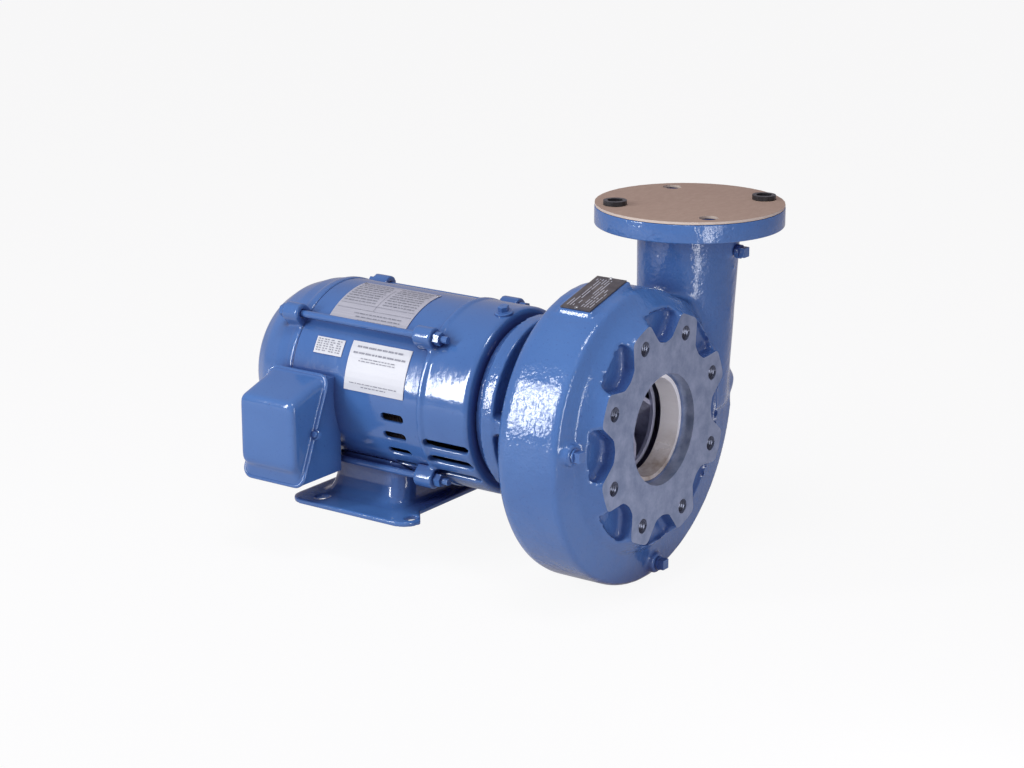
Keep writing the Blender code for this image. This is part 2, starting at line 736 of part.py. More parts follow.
def discharge_cover():
    look = cardboard()
    low = DISCHARGE_RISE + SEAT_GAP
    cover = post("discharge_cover", [(z, COVER_RADIUS, DISCHARGE_X, DISCHARGE_Y)
                                     for z in (low, low + COVER_THICKNESS)], look)
    for i in range(FLANGE_HOLES):
        x, y = flange_hole_centre(i)
        levels = [(z, FLANGE_HOLE_RADIUS, x, y) for z in (low - OVERRUN, low + 2 * OVERRUN)]
        cut(cover, post("cover hole", levels, look, SMALL_SEGMENTS))
    return on_shaft(cover)


def cover_bolt(name, index):
    """Plastic bolt with a broad recessed head, pushed through the cover and the flange."""
    x, y = flange_hole_centre(index)
    seat = DISCHARGE_RISE + COVER_THICKNESS + 2 * SEAT_GAP
    top = seat + COVER_BOLT_HEAD_HEIGHT
    levels = ((seat - COVER_BOLT_SHANK_LENGTH, COVER_BOLT_SHANK_RADIUS),
              (seat, COVER_BOLT_SHANK_RADIUS),
              (seat, COVER_BOLT_HEAD_RADIUS),
              (top, COVER_BOLT_HEAD_RADIUS),
              (top, COVER_BOLT_SHANK_RADIUS),
              (top - COVER_BOLT_RECESS, COVER_BOLT_SHANK_RADIUS))
    return on_shaft(post(name, [(z, radius, x, y) for z, radius in levels], black_plastic(),
                         SMALL_SEGMENTS))


# Impeller and shaft

def shroud_point(turn, offset):
    """Point of the front shroud's curve, from the eye (turn 0) to the outlet (a quarter turn)."""
    outlet_x = IMPELLER_BACK_X + SHROUD_THICKNESS + OUTLET_WIDTH + offset
    eye = EYE_RADIUS + offset
    return (outlet_x + (IMPELLER_EYE_X - outlet_x) * (1 - sin(turn)),
            eye + (IMPELLER_RADIUS - eye) * (1 - cos(turn)))


def front_shroud(look):
    turns = [pi / 2 * i / SHROUD_STATIONS for i in range(SHROUD_STATIONS + 1)]
    inner = [shroud_point(turn, 0) for turn in turns]
    outer = [shroud_point(turn, SHROUD_THICKNESS) for turn in turns]
    return turned("front shroud", inner + outer[::-1], look)


def back_shroud(look):
    bore = SHAFT_RADIUS + SEAT_GAP
    front = IMPELLER_BACK_X + SHROUD_THICKNESS
    return turned("impeller", ((IMPELLER_BACK_X, bore), (IMPELLER_BACK_X, IMPELLER_RADIUS),
                               (front, IMPELLER_RADIUS), (front, HUB_RADIUS + 2 * HUB_FLARE),
                               (front + HUB_FLARE / 2, HUB_RADIUS + HUB_FLARE / 2),
                               (front + 2 * HUB_FLARE, HUB_RADIUS),
                               (IMPELLER_HUB_X, HUB_RADIUS), (IMPELLER_HUB_X, bore)), look)


def vane_top(radius):
    """Height of a vane's front edge: inside the shroud's wall, and sloping to the hub in the eye."""
    half = SHROUD_THICKNESS / 2
    eye = EYE_RADIUS + half
    if radius > eye:
        return shroud_point(acos(1 - (radius - eye) / (IMPELLER_RADIUS - eye)), half)[0]
    share = (radius - VANE_START_RADIUS) / (eye - VANE_START_RADIUS)
    low = IMPELLER_HUB_X - HUB_FLARE
    return low + (IMPELLER_EYE_X - half - low) * share


def vane(start_angle, look):
    """Backward-curved blade on a logarithmic spiral."""
    tip = IMPELLER_RADIUS - SHROUD_THICKNESS / 2
    back = IMPELLER_BACK_X + SHROUD_THICKNESS / 2
    rings = []
    for i in range(VANE_STATIONS + 1):
        radius = VANE_START_RADIUS * (tip / VANE_START_RADIUS) ** (i / VANE_STATIONS)
        angle = start_angle - VANE_WRAP * log(radius / VANE_START_RADIUS) / log(tip / VANE_START_RADIUS)
        centre = Vector(polar(radius, angle))
        pitch = VANE_WRAP / log(tip / VANE_START_RADIUS)
        along = Vector(polar(1, angle)) - Vector(polar(pitch, angle + pi / 2))
        across = Vector((-along.y, along.x)).normalized() * VANE_THICKNESS / 2
        top = vane_top(radius)
        rings.append([(back, *(centre - across)), (back, *(centre + across)),
                      (top, *(centre + across)), (top, *(centre - across))])
    return lofted("vane", rings, look)


def impeller():
    look = cast_bronze()
    wheel = join(back_shroud(look), front_shroud(look))
    join(wheel, *[vane(tau * i / VANES, look) for i in range(VANES)])
    return on_shaft(wheel)


def pump_shaft():
    nut_x = IMPELLER_HUB_X + SEAT_GAP
    tip_x = nut_x + SHAFT_NUT_LENGTH
    end_x = tip_x + SHAFT_NUT_TIP_LENGTH
    return on_shaft(turned("pump_shaft", ((SHAFT_REAR_X, 0), (SHAFT_REAR_X, SHAFT_RADIUS),
                                          (nut_x, SHAFT_RADIUS), (nut_x, SHAFT_NUT_RADIUS),
                                          (tip_x, SHAFT_NUT_RADIUS), (end_x, SHAFT_NUT_TIP_RADIUS),
                                          (end_x, 0)), ground_steel(), SMALL_SEGMENTS * 2))


def slinger():
    bore = SHAFT_RADIUS + SEAT_GAP
    half = SLINGER_THICKNESS / 2
    return on_shaft(turned("slinger", ((SLINGER_X - 2 * half, bore), (SLINGER_X - half, SLINGER_RADIUS),
                                       (SLINGER_X + half, SLINGER_RADIUS), (SLINGER_X + 2 * half, bore)),
                           black_rubber(), SMALL_SEGMENTS * 2))


# Adapter

def adapter():
    """Cast bracket: the grooved ring on the motor, four arms, and the flange that closes the
    casing and carries the seal."""
    look = blue_enamel()
    ring = turned("adapter", ((ADAPTER_BACK_X, ADAPTER_BORE_RADIUS),
                              (ADAPTER_BACK_X, ADAPTER_GROOVE_RADIUS),
                              (ADAPTER_RING_X, ADAPTER_GROOVE_RADIUS),
                              (ADAPTER_RING_X, ADAPTER_RING_RADIUS),
                              (ADAPTER_RING_FRONT_X, ADAPTER_RING_RADIUS),
                              (ADAPTER_RING_FRONT_X, ADAPTER_BORE_RADIUS)), look)
    back = ADAPTER_FLANGE_BACK_X
    register = CHAMBER_BACK_X - SEAT_GAP
    closure = turned("closure", ((back - GLAND_LENGTH, SHAFT_BORE_RADIUS),
                                 (back - GLAND_LENGTH, GLAND_RADIUS),
                                 (back, GLAND_RADIUS),
                                 (back, ADAPTER_FLANGE_RADIUS),
                                 (ADAPTER_FLANGE_FRONT_X, ADAPTER_FLANGE_RADIUS),
                                 (ADAPTER_FLANGE_FRONT_X, ADAPTER_REGISTER_RADIUS),
                                 (register, ADAPTER_REGISTER_RADIUS),
                                 (register, SHAFT_BORE_RADIUS)), look)
    arms = []
    for i in range(ADAPTER_ARMS):
        angle = tau * i / ADAPTER_ARMS
        outline = []
        for radius, along in ((ADAPTER_ARM_OUTER_RADIUS, -1 / 2), (ADAPTER_ARM_OUTER_RADIUS, 1 / 2),
                              (ADAPTER_ARM_OUTER_RADIUS - ADAPTER_ARM_DEPTH, 1 / 2),
                              (ADAPTER_ARM_OUTER_RADIUS - ADAPTER_ARM_DEPTH, -1 / 2)):
            outline.append(Vector(polar(radius, angle))
                           + Vector(polar(along * ADAPTER_ARM_WIDTH, angle + pi / 2)))
        arms.append(prism("arm", outline, ADAPTER_RING_FRONT_X - OVERRUN, back + OVERRUN, look))
    return on_shaft(join(join(ring, arms[0]), closure, *arms[1:]))


# Motor

def radial_slot(angle, width, start, end, outer, depth, look):
    """Slot cutter: a rounded box along X that points out at an angle."""
    steps = 3
    shape = rounded_rectangle(start, end, -width / 2, width / 2, width * 49 / 100, steps)
    rings = [[(x, *(Vector(polar(radius, angle)) + Vector(polar(v, angle + pi / 2))))
              for x, v in shape] for radius in (outer - depth, outer)]
    return lofted("slot", rings, look)


def both_sides(angle):
    """An angle on the -Y side and its mirror on the +Y side."""
    return angle, pi - angle


def lug(start, end, angle, look):
    """Lug for a through bolt: half round outside, with straight sides down to the barrel."""
    out = Vector(polar(1, angle))
    across = Vector(polar(1, angle + pi / 2))
    shape = [polar(LUG_RADIUS, pi * (i / LUG_STATIONS - 1 / 2)) for i in range(LUG_STATIONS + 1)]
    shape += [(-LUG_ROOT, LUG_RADIUS), (-LUG_ROOT, -LUG_RADIUS)]
    outline = [tuple(out * (BOLT_CIRCLE_RADIUS + u) + across * v) for u, v in shape]
    return prism("lug", outline, start, end, look)


def bolt_angle(index):
    return tau * (index + 1 / 2) / BOLTS


def bolt_hole(start, end, angle, look):
    return rod("bolt hole", BOLT_RADIUS + SEAT_GAP, start, end, look,
               polar(BOLT_CIRCLE_RADIUS, angle), BOLT_SEGMENTS)


def drive_end_bracket():
    look = blue_enamel()
    inner = BRACKET_RADIUS - BRACKET_WALL
    front = BRACKET_FRONT_X
    web = front - BRACKET_WALL
    edge = BRACKET_EDGE_ROUND
    bracket = turned("drive_end_bracket", ((BRACKET_BACK_X, inner),
                                           (BRACKET_BACK_X, BRACKET_BAND_RADIUS),
                                           (BRACKET_BACK_X + BRACKET_BAND_WIDTH, BRACKET_BAND_RADIUS),
                                           (BRACKET_BACK_X + BRACKET_BAND_WIDTH, BRACKET_RADIUS),
                                           (front - edge, BRACKET_RADIUS),
                                           (front - edge / 4, BRACKET_RADIUS - edge / 4),
                                           (front, BRACKET_RADIUS - edge),
                                           (front, SHAFT_BORE_RADIUS),
                                           (front - BEARING_HUB_LENGTH, SHAFT_BORE_RADIUS),
                                           (front - BEARING_HUB_LENGTH, BEARING_HUB_RADIUS),
                                           (web, BEARING_HUB_RADIUS),
                                           (web, inner)), look)
    for i in range(BOLTS):
        clear = rod("barrel", FRAME_RADIUS + SEAT_GAP, LUG_BACK_X - OVERRUN, BRACKET_BACK_X, look,
                    segments=ROUND_SEGMENTS)
        join(bracket, cut(lug(LUG_BACK_X, LUG_FRONT_X, bolt_angle(i), look), clear))
    for i in range(BOLTS):
        cut(bracket, bolt_hole(LUG_BACK_X - OVERRUN, LUG_FRONT_X + OVERRUN, bolt_angle(i), look))
    start = BRACKET_BACK_X + BRACKET_SLOT_MARGIN
    end = front - BRACKET_SLOT_MARGIN
    for i in range(BRACKET_SLOTS):
        for angle in both_sides(BRACKET_SLOT_FIRST_ANGLE + i * BRACKET_SLOT_PITCH):
            cut(bracket, radial_slot(angle, BRACKET_SLOT_WIDTH, start, end, BRACKET_RADIUS + OVERRUN,
                                     BRACKET_WALL + 2 * OVERRUN, look))
    return on_shaft(bracket)


def stator_frame():
    look = blue_enamel()
    inner = FRAME_RADIUS - FRAME_WALL
    barrel = turned("stator_frame", ((FRAME_REAR_X, inner), (FRAME_REAR_X, FRAME_RADIUS),
                                     (FRAME_FRONT_X, FRAME_RADIUS), (FRAME_FRONT_X, inner)), look)
    for i in range(FRAME_SLOTS):
        for angle in both_sides(FRAME_SLOT_FIRST_ANGLE + i * FRAME_SLOT_PITCH):
            cut(barrel, radial_slot(angle, FRAME_SLOT_WIDTH, FRAME_SLOT_X - FRAME_SLOT_LENGTH / 2,
                                    FRAME_SLOT_X + FRAME_SLOT_LENGTH / 2, FRAME_RADIUS + OVERRUN,
                                    FRAME_WALL + 2 * OVERRUN, look))
    return on_shaft(barrel)


def rear_profile(inset):
    """Half outline of the domed bracket from its seam to the middle of its face."""
    radius = FRAME_RADIUS - inset
    depth = REAR_DEPTH - inset
    face = REAR_FACE_RADIUS
    points = []
    for i in range(REAR_STATIONS + 1):
        turn = pi / 2 * i / REAR_STATIONS
        points.append((REAR_SEAM_X - depth * sin(turn), face + (radius - face) * cos(turn)))
    return points


def rear_end_bracket():
    look = blue_enamel()
    band = FRAME_RADIUS + REAR_BAND_STANDOUT
    outer = rear_profile(0)
    inner = rear_profile(REAR_WALL)
    outline = [(inner[-1][0], 0)] + inner[::-1]
    outline += [(REAR_SEAM_X, band), (REAR_SEAM_X - REAR_BAND_WIDTH, band),
                (REAR_SEAM_X - REAR_BAND_WIDTH, outer[0][1])]
    outline += outer[1:] + [(outer[-1][0], 0)]
    bracket = turned("rear_end_bracket", outline, look)
    for i in range(BOLTS):
        angle = bolt_angle(i)
        cut(bracket, rod("pocket", REAR_POCKET_RADIUS, REAR_SEAM_X - REAR_DEPTH - OVERRUN,
                         REAR_LUG_X + REAR_POCKET_STEP, look, polar(BOLT_CIRCLE_RADIUS, angle)))
        join(bracket, lug(REAR_LUG_X, REAR_SEAM_X, angle, look))
        cut(bracket, bolt_hole(REAR_LUG_X - OVERRUN, REAR_SEAM_X + OVERRUN, angle, look))
    return on_shaft(bracket)


def through_bolts():
    """Long bolts outside the barrel, head at the rear and nut at the drive end."""
    look = blue_enamel()
    head_end = REAR_LUG_X - SEAT_GAP
    nut_start = LUG_FRONT_X + SEAT_GAP
    nut_end = nut_start + BOLT_NUT_LENGTH
    centre = (BOLT_CIRCLE_RADIUS, 0)
    bolt = rod("through_bolt_1", BOLT_RADIUS, head_end - OVERRUN, nut_end + BOLT_TAIL_LENGTH, look,
               centre, BOLT_SEGMENTS)
    head = rod("head", BOLT_HEAD_RADIUS, head_end - BOLT_HEAD_LENGTH, head_end, look, centre, 6)
    nut = rod("nut", BOLT_HEAD_RADIUS, nut_start, nut_end, look, centre, 6)
    on_shaft(join(bolt, head, nut), bolt_angle(0))
    for i in range(1, BOLTS):
        copy = bpy.data.objects.new(f"through_bolt_{i + 1}", bolt.data)
        bpy.context.scene.collection.objects.link(copy)
        on_shaft(copy, bolt_angle(i))


def stator_core():
    outer = FRAME_RADIUS - FRAME_WALL - SEAT_GAP
    end = CORE_REAR_X + CORE_LENGTH
    return on_shaft(turned("stator_core", ((CORE_REAR_X, CORE_BORE_RADIUS), (CORE_REAR_X, outer),
                                           (end, outer), (end, CORE_BORE_RADIUS)), ground_steel(),
                           SMALL_SEGMENTS * 2))


def windings():
    start = CORE_REAR_X + CORE_LENGTH + SEAT_GAP
    end = start + WINDING_LENGTH
    inner = WINDING_RADIUS - WINDING_WALL
    soft = WINDING_WALL / 4
    return on_shaft(turned("windings", ((start, inner), (start, WINDING_RADIUS),
                                        (end - soft, WINDING_RADIUS), (end, WINDING_RADIUS - soft),
                                        (end, inner + soft), (end - soft, inner)),
                           winding_varnish(), SMALL_SEGMENTS * 2))


def motor_rotor():
    bore = SHAFT_RADIUS + SEAT_GAP
    start = CORE_REAR_X - ROTOR_END_LENGTH
    end = CORE_REAR_X + CORE_LENGTH + ROTOR_END_LENGTH
    return on_shaft(turned("motor_rotor", ((start, bore), (start, ROTOR_END_RADIUS),
                                           (CORE_REAR_X, ROTOR_END_RADIUS),
                                           (CORE_REAR_X, ROTOR_RADIUS),
                                           (end - ROTOR_END_LENGTH, ROTOR_RADIUS),
                                           (end - ROTOR_END_LENGTH, ROTOR_END_RADIUS),
                                           (end, ROTOR_END_RADIUS), (end, bore)), ground_steel(),
                           SMALL_SEGMENTS * 2))


# Base

def foot_ring(z):
    return [(x, y, z) for x, y in rounded_rectangle(BASE_REAR_X, BASE_FRONT_X, -BASE_HALF_WIDTH,
                                                    BASE_HALF_WIDTH, BASE_CORNER_ROUND)]


def saddle_rings(wall):
    """The saddle's outside, or its inside one wall in: it spreads in a curve as it nears the foot."""
    rings = []
    for i in range(SADDLE_STATIONS + 1):
        share = i / SADDLE_STATIONS
        spread = (1 - share) ** 2
        end = wall - SADDLE_END_FLARE * spread
        half = BASE_HALF_WIDTH - SADDLE_SIDE_INSET - wall + SADDLE_SIDE_FLARE * spread
        outline = rounded_rectangle(BASE_REAR_X + SADDLE_REAR_INSET + end,
                                    BASE_FRONT_X - SADDLE_FRONT_INSET - end,
                                    -half, half, BASE_CORNER_ROUND)
        z = BASE_PLATE + (SADDLE_HEIGHT - BASE_PLATE) * share ** 2
        rings.append([(x, y, z) for x, y in outline])
    return rings


def lower(ring, drop):
    return [(x, y, z - drop) for x, y, z in ring]


def lip_outline():
    """Notch in the foot's front edge, with slanted ends, as (x, y) points."""
    wide = BASE_LIP_HALF_WIDTH + BASE_LIP_SPREAD
    near = ((BASE_LIP_X, -BASE_LIP_HALF_WIDTH), (BASE_FRONT_X, -wide), (BASE_FRONT_X + OVERRUN, -wide))
    return near + tuple((x, -y) for x, y in near[::-1])


def motor_base():
    """Pressed saddle: a flat foot with rounded corners that flares up to the barrel."""
    look = blue_enamel()
    outside = saddle_rings(0)
    inside = saddle_rings(BASE_WALL)
    foot = lofted("motor_base", [foot_ring(0), foot_ring(BASE_PLATE)], look)
    saddle = lofted("saddle", [lower(outside[0], BASE_PLATE / 2)] + outside, look)
    hollow = lofted("hollow", [lower(inside[0], BASE_PLATE + OVERRUN)] + inside
                    + [lower(inside[-1], -OVERRUN)], look)
    barrel = rod("barrel", FRAME_RADIUS + SEAT_GAP, BASE_REAR_X - OVERRUN, BASE_FRONT_X + OVERRUN,
                 look, (0, SHAFT_HEIGHT), ROUND_SEGMENTS)
    notch = lofted("notch", [[(x, y, z) for x, y in lip_outline()] for z in (-OVERRUN, SHAFT_HEIGHT)],
                   look)
    join(foot, saddle)
    cut(foot, hollow, barrel, notch)
    for x in (FOOT_HOLE_FRONT_X, FOOT_HOLE_FRONT_X - FOOT_HOLE_PITCH):
        for side in (-1, 1):
            middle = side * FOOT_HOLE_HALF_SPAN
            slot = rounded_rectangle(x - FOOT_SLOT_WIDTH / 2, x + FOOT_SLOT_WIDTH / 2,
                                     middle - FOOT_SLOT_LENGTH / 2, middle + FOOT_SLOT_LENGTH / 2,
                                     FOOT_SLOT_WIDTH * 49 / 100)
            cut(foot, lofted("foot slot", [[(u, v, z) for u, v in slot]
                                           for z in (-OVERRUN, BASE_PLATE + OVERRUN)], look))
    return foot


# Terminal box

def box_rim_normal():
    """Outward direction (y, z) of the slanted parting face."""
    slope = Vector(BOX_RIM_TOP) - Vector(BOX_RIM_BOTTOM)
    return Vector((-slope.y, slope.x)).normalized()


def box_ring(low, high, inset, corner):
    """Rounded rectangle between two (y, z) edges."""
    low, high = Vector(low), Vector(high)
    height = (high - low).length
    ring = []
    for x, s in rounded_rectangle(BOX_REAR_X + inset, BOX_FRONT_X - inset, inset, height - inset, corner):
        y, z = low + (high - low) * s / height
        ring.append((x, y, z))
    return ring


def terminal_box_cover():
    """Drawn cover: a slanted rim, and sides that close in to an upright face."""
    out = box_rim_normal()
    low, high = Vector(BOX_RIM_BOTTOM), Vector(BOX_RIM_TOP)
    face_low = Vector((BOX_FACE_Y, BOX_FACE_LOW))
    face_high = Vector((BOX_FACE_Y, BOX_FACE_HIGH))
    back = Vector((BOX_FACE_ROUND, 0))
    soft = BOX_FACE_ROUND
    rim = out * BOX_RIM_THICKNESS
    corner = BOX_CORNER_ROUND
    side_corner = BOX_CORNER_ROUND - BOX_RIM_WIDTH
    rings = [box_ring(low + out * SEAT_GAP, high + out * SEAT_GAP, 0, corner),
             box_ring(low + rim, high + rim, 0, corner),
             box_ring(low + rim, high + rim, BOX_RIM_WIDTH, side_corner),
             box_ring(face_low + back, face_high + back, BOX_RIM_WIDTH, side_corner),
             box_ring(face_low + back / 4, face_high + back / 4, BOX_RIM_WIDTH + soft / 4,
                      corner - soft),
             box_ring(face_low, face_high, BOX_RIM_WIDTH + soft, corner - soft)]
    return lofted("terminal_box_cover", rings, blue_enamel())


def terminal_box_base():
    """Wedge between the slanted rim and the barrel."""
    look = blue_enamel()
    inset = BOX_RIM_WIDTH
    slope = (Vector(BOX_RIM_TOP) - Vector(BOX_RIM_BOTTOM)).normalized() * inset
    top = Vector(BOX_RIM_TOP) - slope
    low = Vector(BOX_RIM_BOTTOM) + slope
    outline = (top, low, (BOX_BACK_Y, low.y), (BOX_BACK_Y, top.y))
    base = prism("terminal_box_base", outline, BOX_REAR_X + inset, BOX_FRONT_X - inset, look)
    reach = FRAME_RADIUS + REAR_BAND_STANDOUT + SEAT_GAP
    rear = rod("rear bracket", reach, BOX_REAR_X - OVERRUN, FRAME_REAR_X + SEAT_GAP, look,
               (0, SHAFT_HEIGHT), ROUND_SEGMENTS)
    barrel = rod("barrel", FRAME_RADIUS + SEAT_GAP, BOX_REAR_X - OVERRUN, BOX_FRONT_X + OVERRUN,
                 look, (0, SHAFT_HEIGHT), ROUND_SEGMENTS)
    return cut(base, barrel, rear)


# Plates and labels

def barrel_sheet(name, span_x, span_angle, look):
    """Thin plate bent round the barrel."""
    low = FRAME_RADIUS + SEAT_GAP
    high = low + LABEL_THICKNESS
    steps = max(1, round((span_angle[1] - span_angle[0]) / LABEL_STEP))
    rings = []
    for i in range(steps + 1):
        angle = span_angle[0] + (span_angle[1] - span_angle[0]) * i / steps
        rings.append([(span_x[0], *polar(low, angle)), (span_x[1], *polar(low, angle)),
                      (span_x[1], *polar(high, angle)), (span_x[0], *polar(high, angle))])
    return on_shaft(lofted(name, rings, look))


def build():
    remove_everything()
    volute_casing()
    pump_nameplate()
    wear_ring()
    plugs()
    discharge_cover()
    cover_bolt("cover_bolt_near", 2)
    cover_bolt("cover_bolt_far", 0)
    impeller()
    pump_shaft()
    slinger()
    adapter()
    drive_end_bracket()
    stator_frame()
    rear_end_bracket()
    through_bolts()
    stator_core()
    windings()
    motor_rotor()
    motor_base()
    terminal_box_base()
    terminal_box_cover()
    barrel_sheet("motor_nameplate", NAMEPLATE_SPAN_X, NAMEPLATE_SPAN_ANGLE, plate_metal())
    barrel_sheet("rating_label", RATING_SPAN_X, RATING_SPAN_ANGLE, white_film())
    barrel_sheet("square_label", SQUARE_SPAN_X, SQUARE_SPAN_ANGLE, white_film())


build()
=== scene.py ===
from math import atan2, cos, hypot, pi, radians, sin, tau
from random import Random

import bmesh
import bpy
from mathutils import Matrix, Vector


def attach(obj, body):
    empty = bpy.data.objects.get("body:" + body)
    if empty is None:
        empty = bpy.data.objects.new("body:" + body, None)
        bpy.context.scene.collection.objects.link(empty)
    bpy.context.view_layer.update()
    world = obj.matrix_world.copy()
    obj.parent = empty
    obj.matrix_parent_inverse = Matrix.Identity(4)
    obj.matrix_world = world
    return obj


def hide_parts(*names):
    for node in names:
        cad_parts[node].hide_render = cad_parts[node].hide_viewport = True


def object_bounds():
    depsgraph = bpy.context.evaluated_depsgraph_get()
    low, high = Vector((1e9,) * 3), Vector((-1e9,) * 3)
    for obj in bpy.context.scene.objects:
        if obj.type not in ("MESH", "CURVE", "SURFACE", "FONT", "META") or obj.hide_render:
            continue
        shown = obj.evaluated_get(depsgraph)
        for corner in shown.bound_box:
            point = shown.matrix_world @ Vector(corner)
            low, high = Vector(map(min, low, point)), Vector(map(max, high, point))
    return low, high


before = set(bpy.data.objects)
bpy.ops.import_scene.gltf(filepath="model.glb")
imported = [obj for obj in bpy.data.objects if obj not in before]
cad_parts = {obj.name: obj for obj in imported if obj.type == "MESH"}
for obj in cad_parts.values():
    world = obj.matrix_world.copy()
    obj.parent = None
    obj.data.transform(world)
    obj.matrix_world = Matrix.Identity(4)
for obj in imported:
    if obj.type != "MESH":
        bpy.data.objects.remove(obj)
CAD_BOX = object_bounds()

SHAFT_HEIGHT = 0.1143

# Camera, fitted to the photograph
CAMERA_AZIMUTH = radians(35.2007)
CAMERA_ELEVATION = radians(16.1095)
CAMERA_TARGET = (0.0460, 0.0294, 0.11959)
CAMERA_DISTANCE = 2.53884
CAMERA_LENS = 87.99
SENSOR_WIDTH = 36

# Lamps: name, direction, width, height, power, distance, and whether gloss mirrors it
LAMPS = (("key", (-0.490, -0.790, 0.330), 0.30, 1.25, 29, 2.2, True),
         ("side", (0.920, -0.340, 0.050), 0.26, 1.50, 5, 2.2, True),
         ("strip", (0.900, -0.420, 0.100), 0.10, 0.46, 1.3, 0.80, True),
         ("overhead", (0.150, -0.200, 0.970), 0.40, 0.40, 7, 1.6, True),
         ("front", (-0.15, -0.85, 0.60), 1.60, 1.20, 8, 2.2, False),
         ("top", (0.250, -0.350, 1.000), 1.40, 1.20, 11, 2.2, False))
WHITE = (1, 1, 1, 1)
FILL_COLOUR = (0.88, 0.68, 1.00, 1)
FILL_STRENGTH = 0.21
GLOSSY_WHITE_SHARE = 0.28
FLOOR_WHITE_SHARE = 0.92
FLOOR_HALF_SIZE = 30
FLOOR_GAP = 0.001

# Blue enamel, as linear values
BLUE = (0.048, 0.128, 0.340)
BLUE_LIGHT = (0.062, 0.156, 0.385)
# The darkest blue: the colour of the enamel's pits, and of the painted shade in its crevices.
BLUE_PITS_AND_SHADE = (0.022, 0.020, 0.125)


# Node materials

class Look:
    """A material whose Principled shader is fed by a few procedural nodes."""

    def __init__(self, name):
        self.material = bpy.data.materials.new(name)
        self.material.use_nodes = True
        self.tree = self.material.node_tree
        self.shader = self.tree.nodes["Principled BSDF"]
        self.place = self.node("ShaderNodeTexCoord").outputs["Object"]

    def node(self, kind, **settings):
        made = self.tree.nodes.new(kind)
        for key, value in settings.items():
            setattr(made, key, value)
        return made

    def feed(self, socket, value):
        if isinstance(value, bpy.types.NodeSocket):
            self.tree.links.new(value, socket)
        elif isinstance(value, tuple) and len(value) == 3 and socket.type == "RGBA":
            socket.default_value = (*value, 1)
        else:
            socket.default_value = value

    def set(self, **values):
        for name, value in values.items():
            self.feed(self.shader.inputs[name.replace("_", " ")], value)

    def noise(self, scale, detail=2.0, roughness=0.5, place=None):
        made = self.node("ShaderNodeTexNoise")
        self.feed(made.inputs["Vector"], place or self.place)
        made.inputs["Scale"].default_value = scale
        made.inputs["Detail"].default_value = detail
        made.inputs["Roughness"].default_value = roughness
        return made.outputs["Fac"]

    def stretch(self, factors):
        """Places squeezed along each axis, for grain that runs one way."""
        made = self.node("ShaderNodeMapping")
        self.feed(made.inputs["Vector"], self.place)
        made.inputs["Scale"].default_value = factors
        return made.outputs["Vector"]

    def range(self, value, low, high, new_low, new_high):
        made = self.node("ShaderNodeMapRange")
        for socket, given in zip(made.inputs, (value, low, high, new_low, new_high)):
            self.feed(socket, given)
        return made.outputs["Result"]

    def spread(self, noise, low, high):
        """Turn a noise's usual reach into the given one."""
        return self.range(noise, 0.3, 0.7, low, high)

    def bands(self, scale, distortion, place=None):
        made = self.node("ShaderNodeTexWave", bands_direction="X")
        self.feed(made.inputs["Vector"], place or self.place)
        made.inputs["Scale"].default_value = scale
        made.inputs["Distortion"].default_value = distortion
        return made.outputs["Fac"]

    def maths(self, operation, *values):
        made = self.node("ShaderNodeMath", operation=operation)
        for socket, given in zip(made.inputs, values):
            self.feed(socket, given)
        return made.outputs["Value"]

    def mix(self, factor, first, second):
        made = self.node("ShaderNodeMix", data_type="RGBA")
        self.feed(made.inputs["Factor"], factor)
        self.feed(made.inputs[6], first)
        self.feed(made.inputs[7], second)
        return made.outputs[2]

    def bump(self, height, distance, strength=1.0, below=None):
        made = self.node("ShaderNodeBump")
        self.feed(made.inputs["Height"], height)
        made.inputs["Distance"].default_value = distance
        made.inputs["Strength"].default_value = strength
        if below:
            self.feed(made.inputs["Normal"], below)
        return made.outputs["Normal"]

    def axes(self):
        made = self.node("ShaderNodeSeparateXYZ")
        self.feed(made.inputs["Vector"], self.place)
        return made.outputs["X"], made.outputs["Y"], made.outputs["Z"]

    def shaft_radius(self):
        """Distance from the shaft's line."""
        y, z = self.axes()[1:]
        rise = self.maths("SUBTRACT", z, SHAFT_HEIGHT)
        return self.maths("SQRT", self.maths("ADD", self.maths("MULTIPLY", y, y),
                                             self.maths("MULTIPLY", rise, rise)))


def enamel(name, lumps, peel, glossy, dull):
    """Glossy blue enamel: brushed on thick over a casting, or thin over pressed steel; painted shade darkens
    it in crevices and under overhangs.
    """
    look = Look(name)
    colour = look.mix(look.spread(look.noise(9, 3), 0.0, 1.0), BLUE, BLUE_LIGHT)
    pits = look.noise(420, 2)
    colour = look.mix(look.range(pits, 0.64, 0.80, 0.0, 0.35), colour, BLUE_PITS_AND_SHADE)
    # Painted shade: ambient occlusion mixes the colour towards the darkest blue in crevices, pockets and
    # under the flange.
    occlusion = look.node("ShaderNodeAmbientOcclusion", samples=8)
    occlusion.inputs["Distance"].default_value = 0.045
    painted_shade = look.range(occlusion.outputs["AO"], 0.25, 0.85, 0.80, 0.0)
    colour = look.mix(painted_shade, colour, BLUE_PITS_AND_SHADE)
    normal = look.bump(look.noise(55, 3, 0.6), lumps, 1.0)
    normal = look.bump(look.noise(240, 2, 0.5), peel, 1.0, normal)
    look.set(Base_Color=colour, Normal=normal, Roughness=look.spread(look.noise(60, 2), glossy, dull),
             Specular_IOR_Level=0.5, Coat_Weight=0.25, Coat_Roughness=0.08)
    return look.material


def cast_enamel():
    return enamel("cast enamel", 0.0016, 0.00042, 0.10, 0.20)


def sheet_enamel():
    return enamel("sheet enamel", 0.00030, 0.00006, 0.08, 0.15)


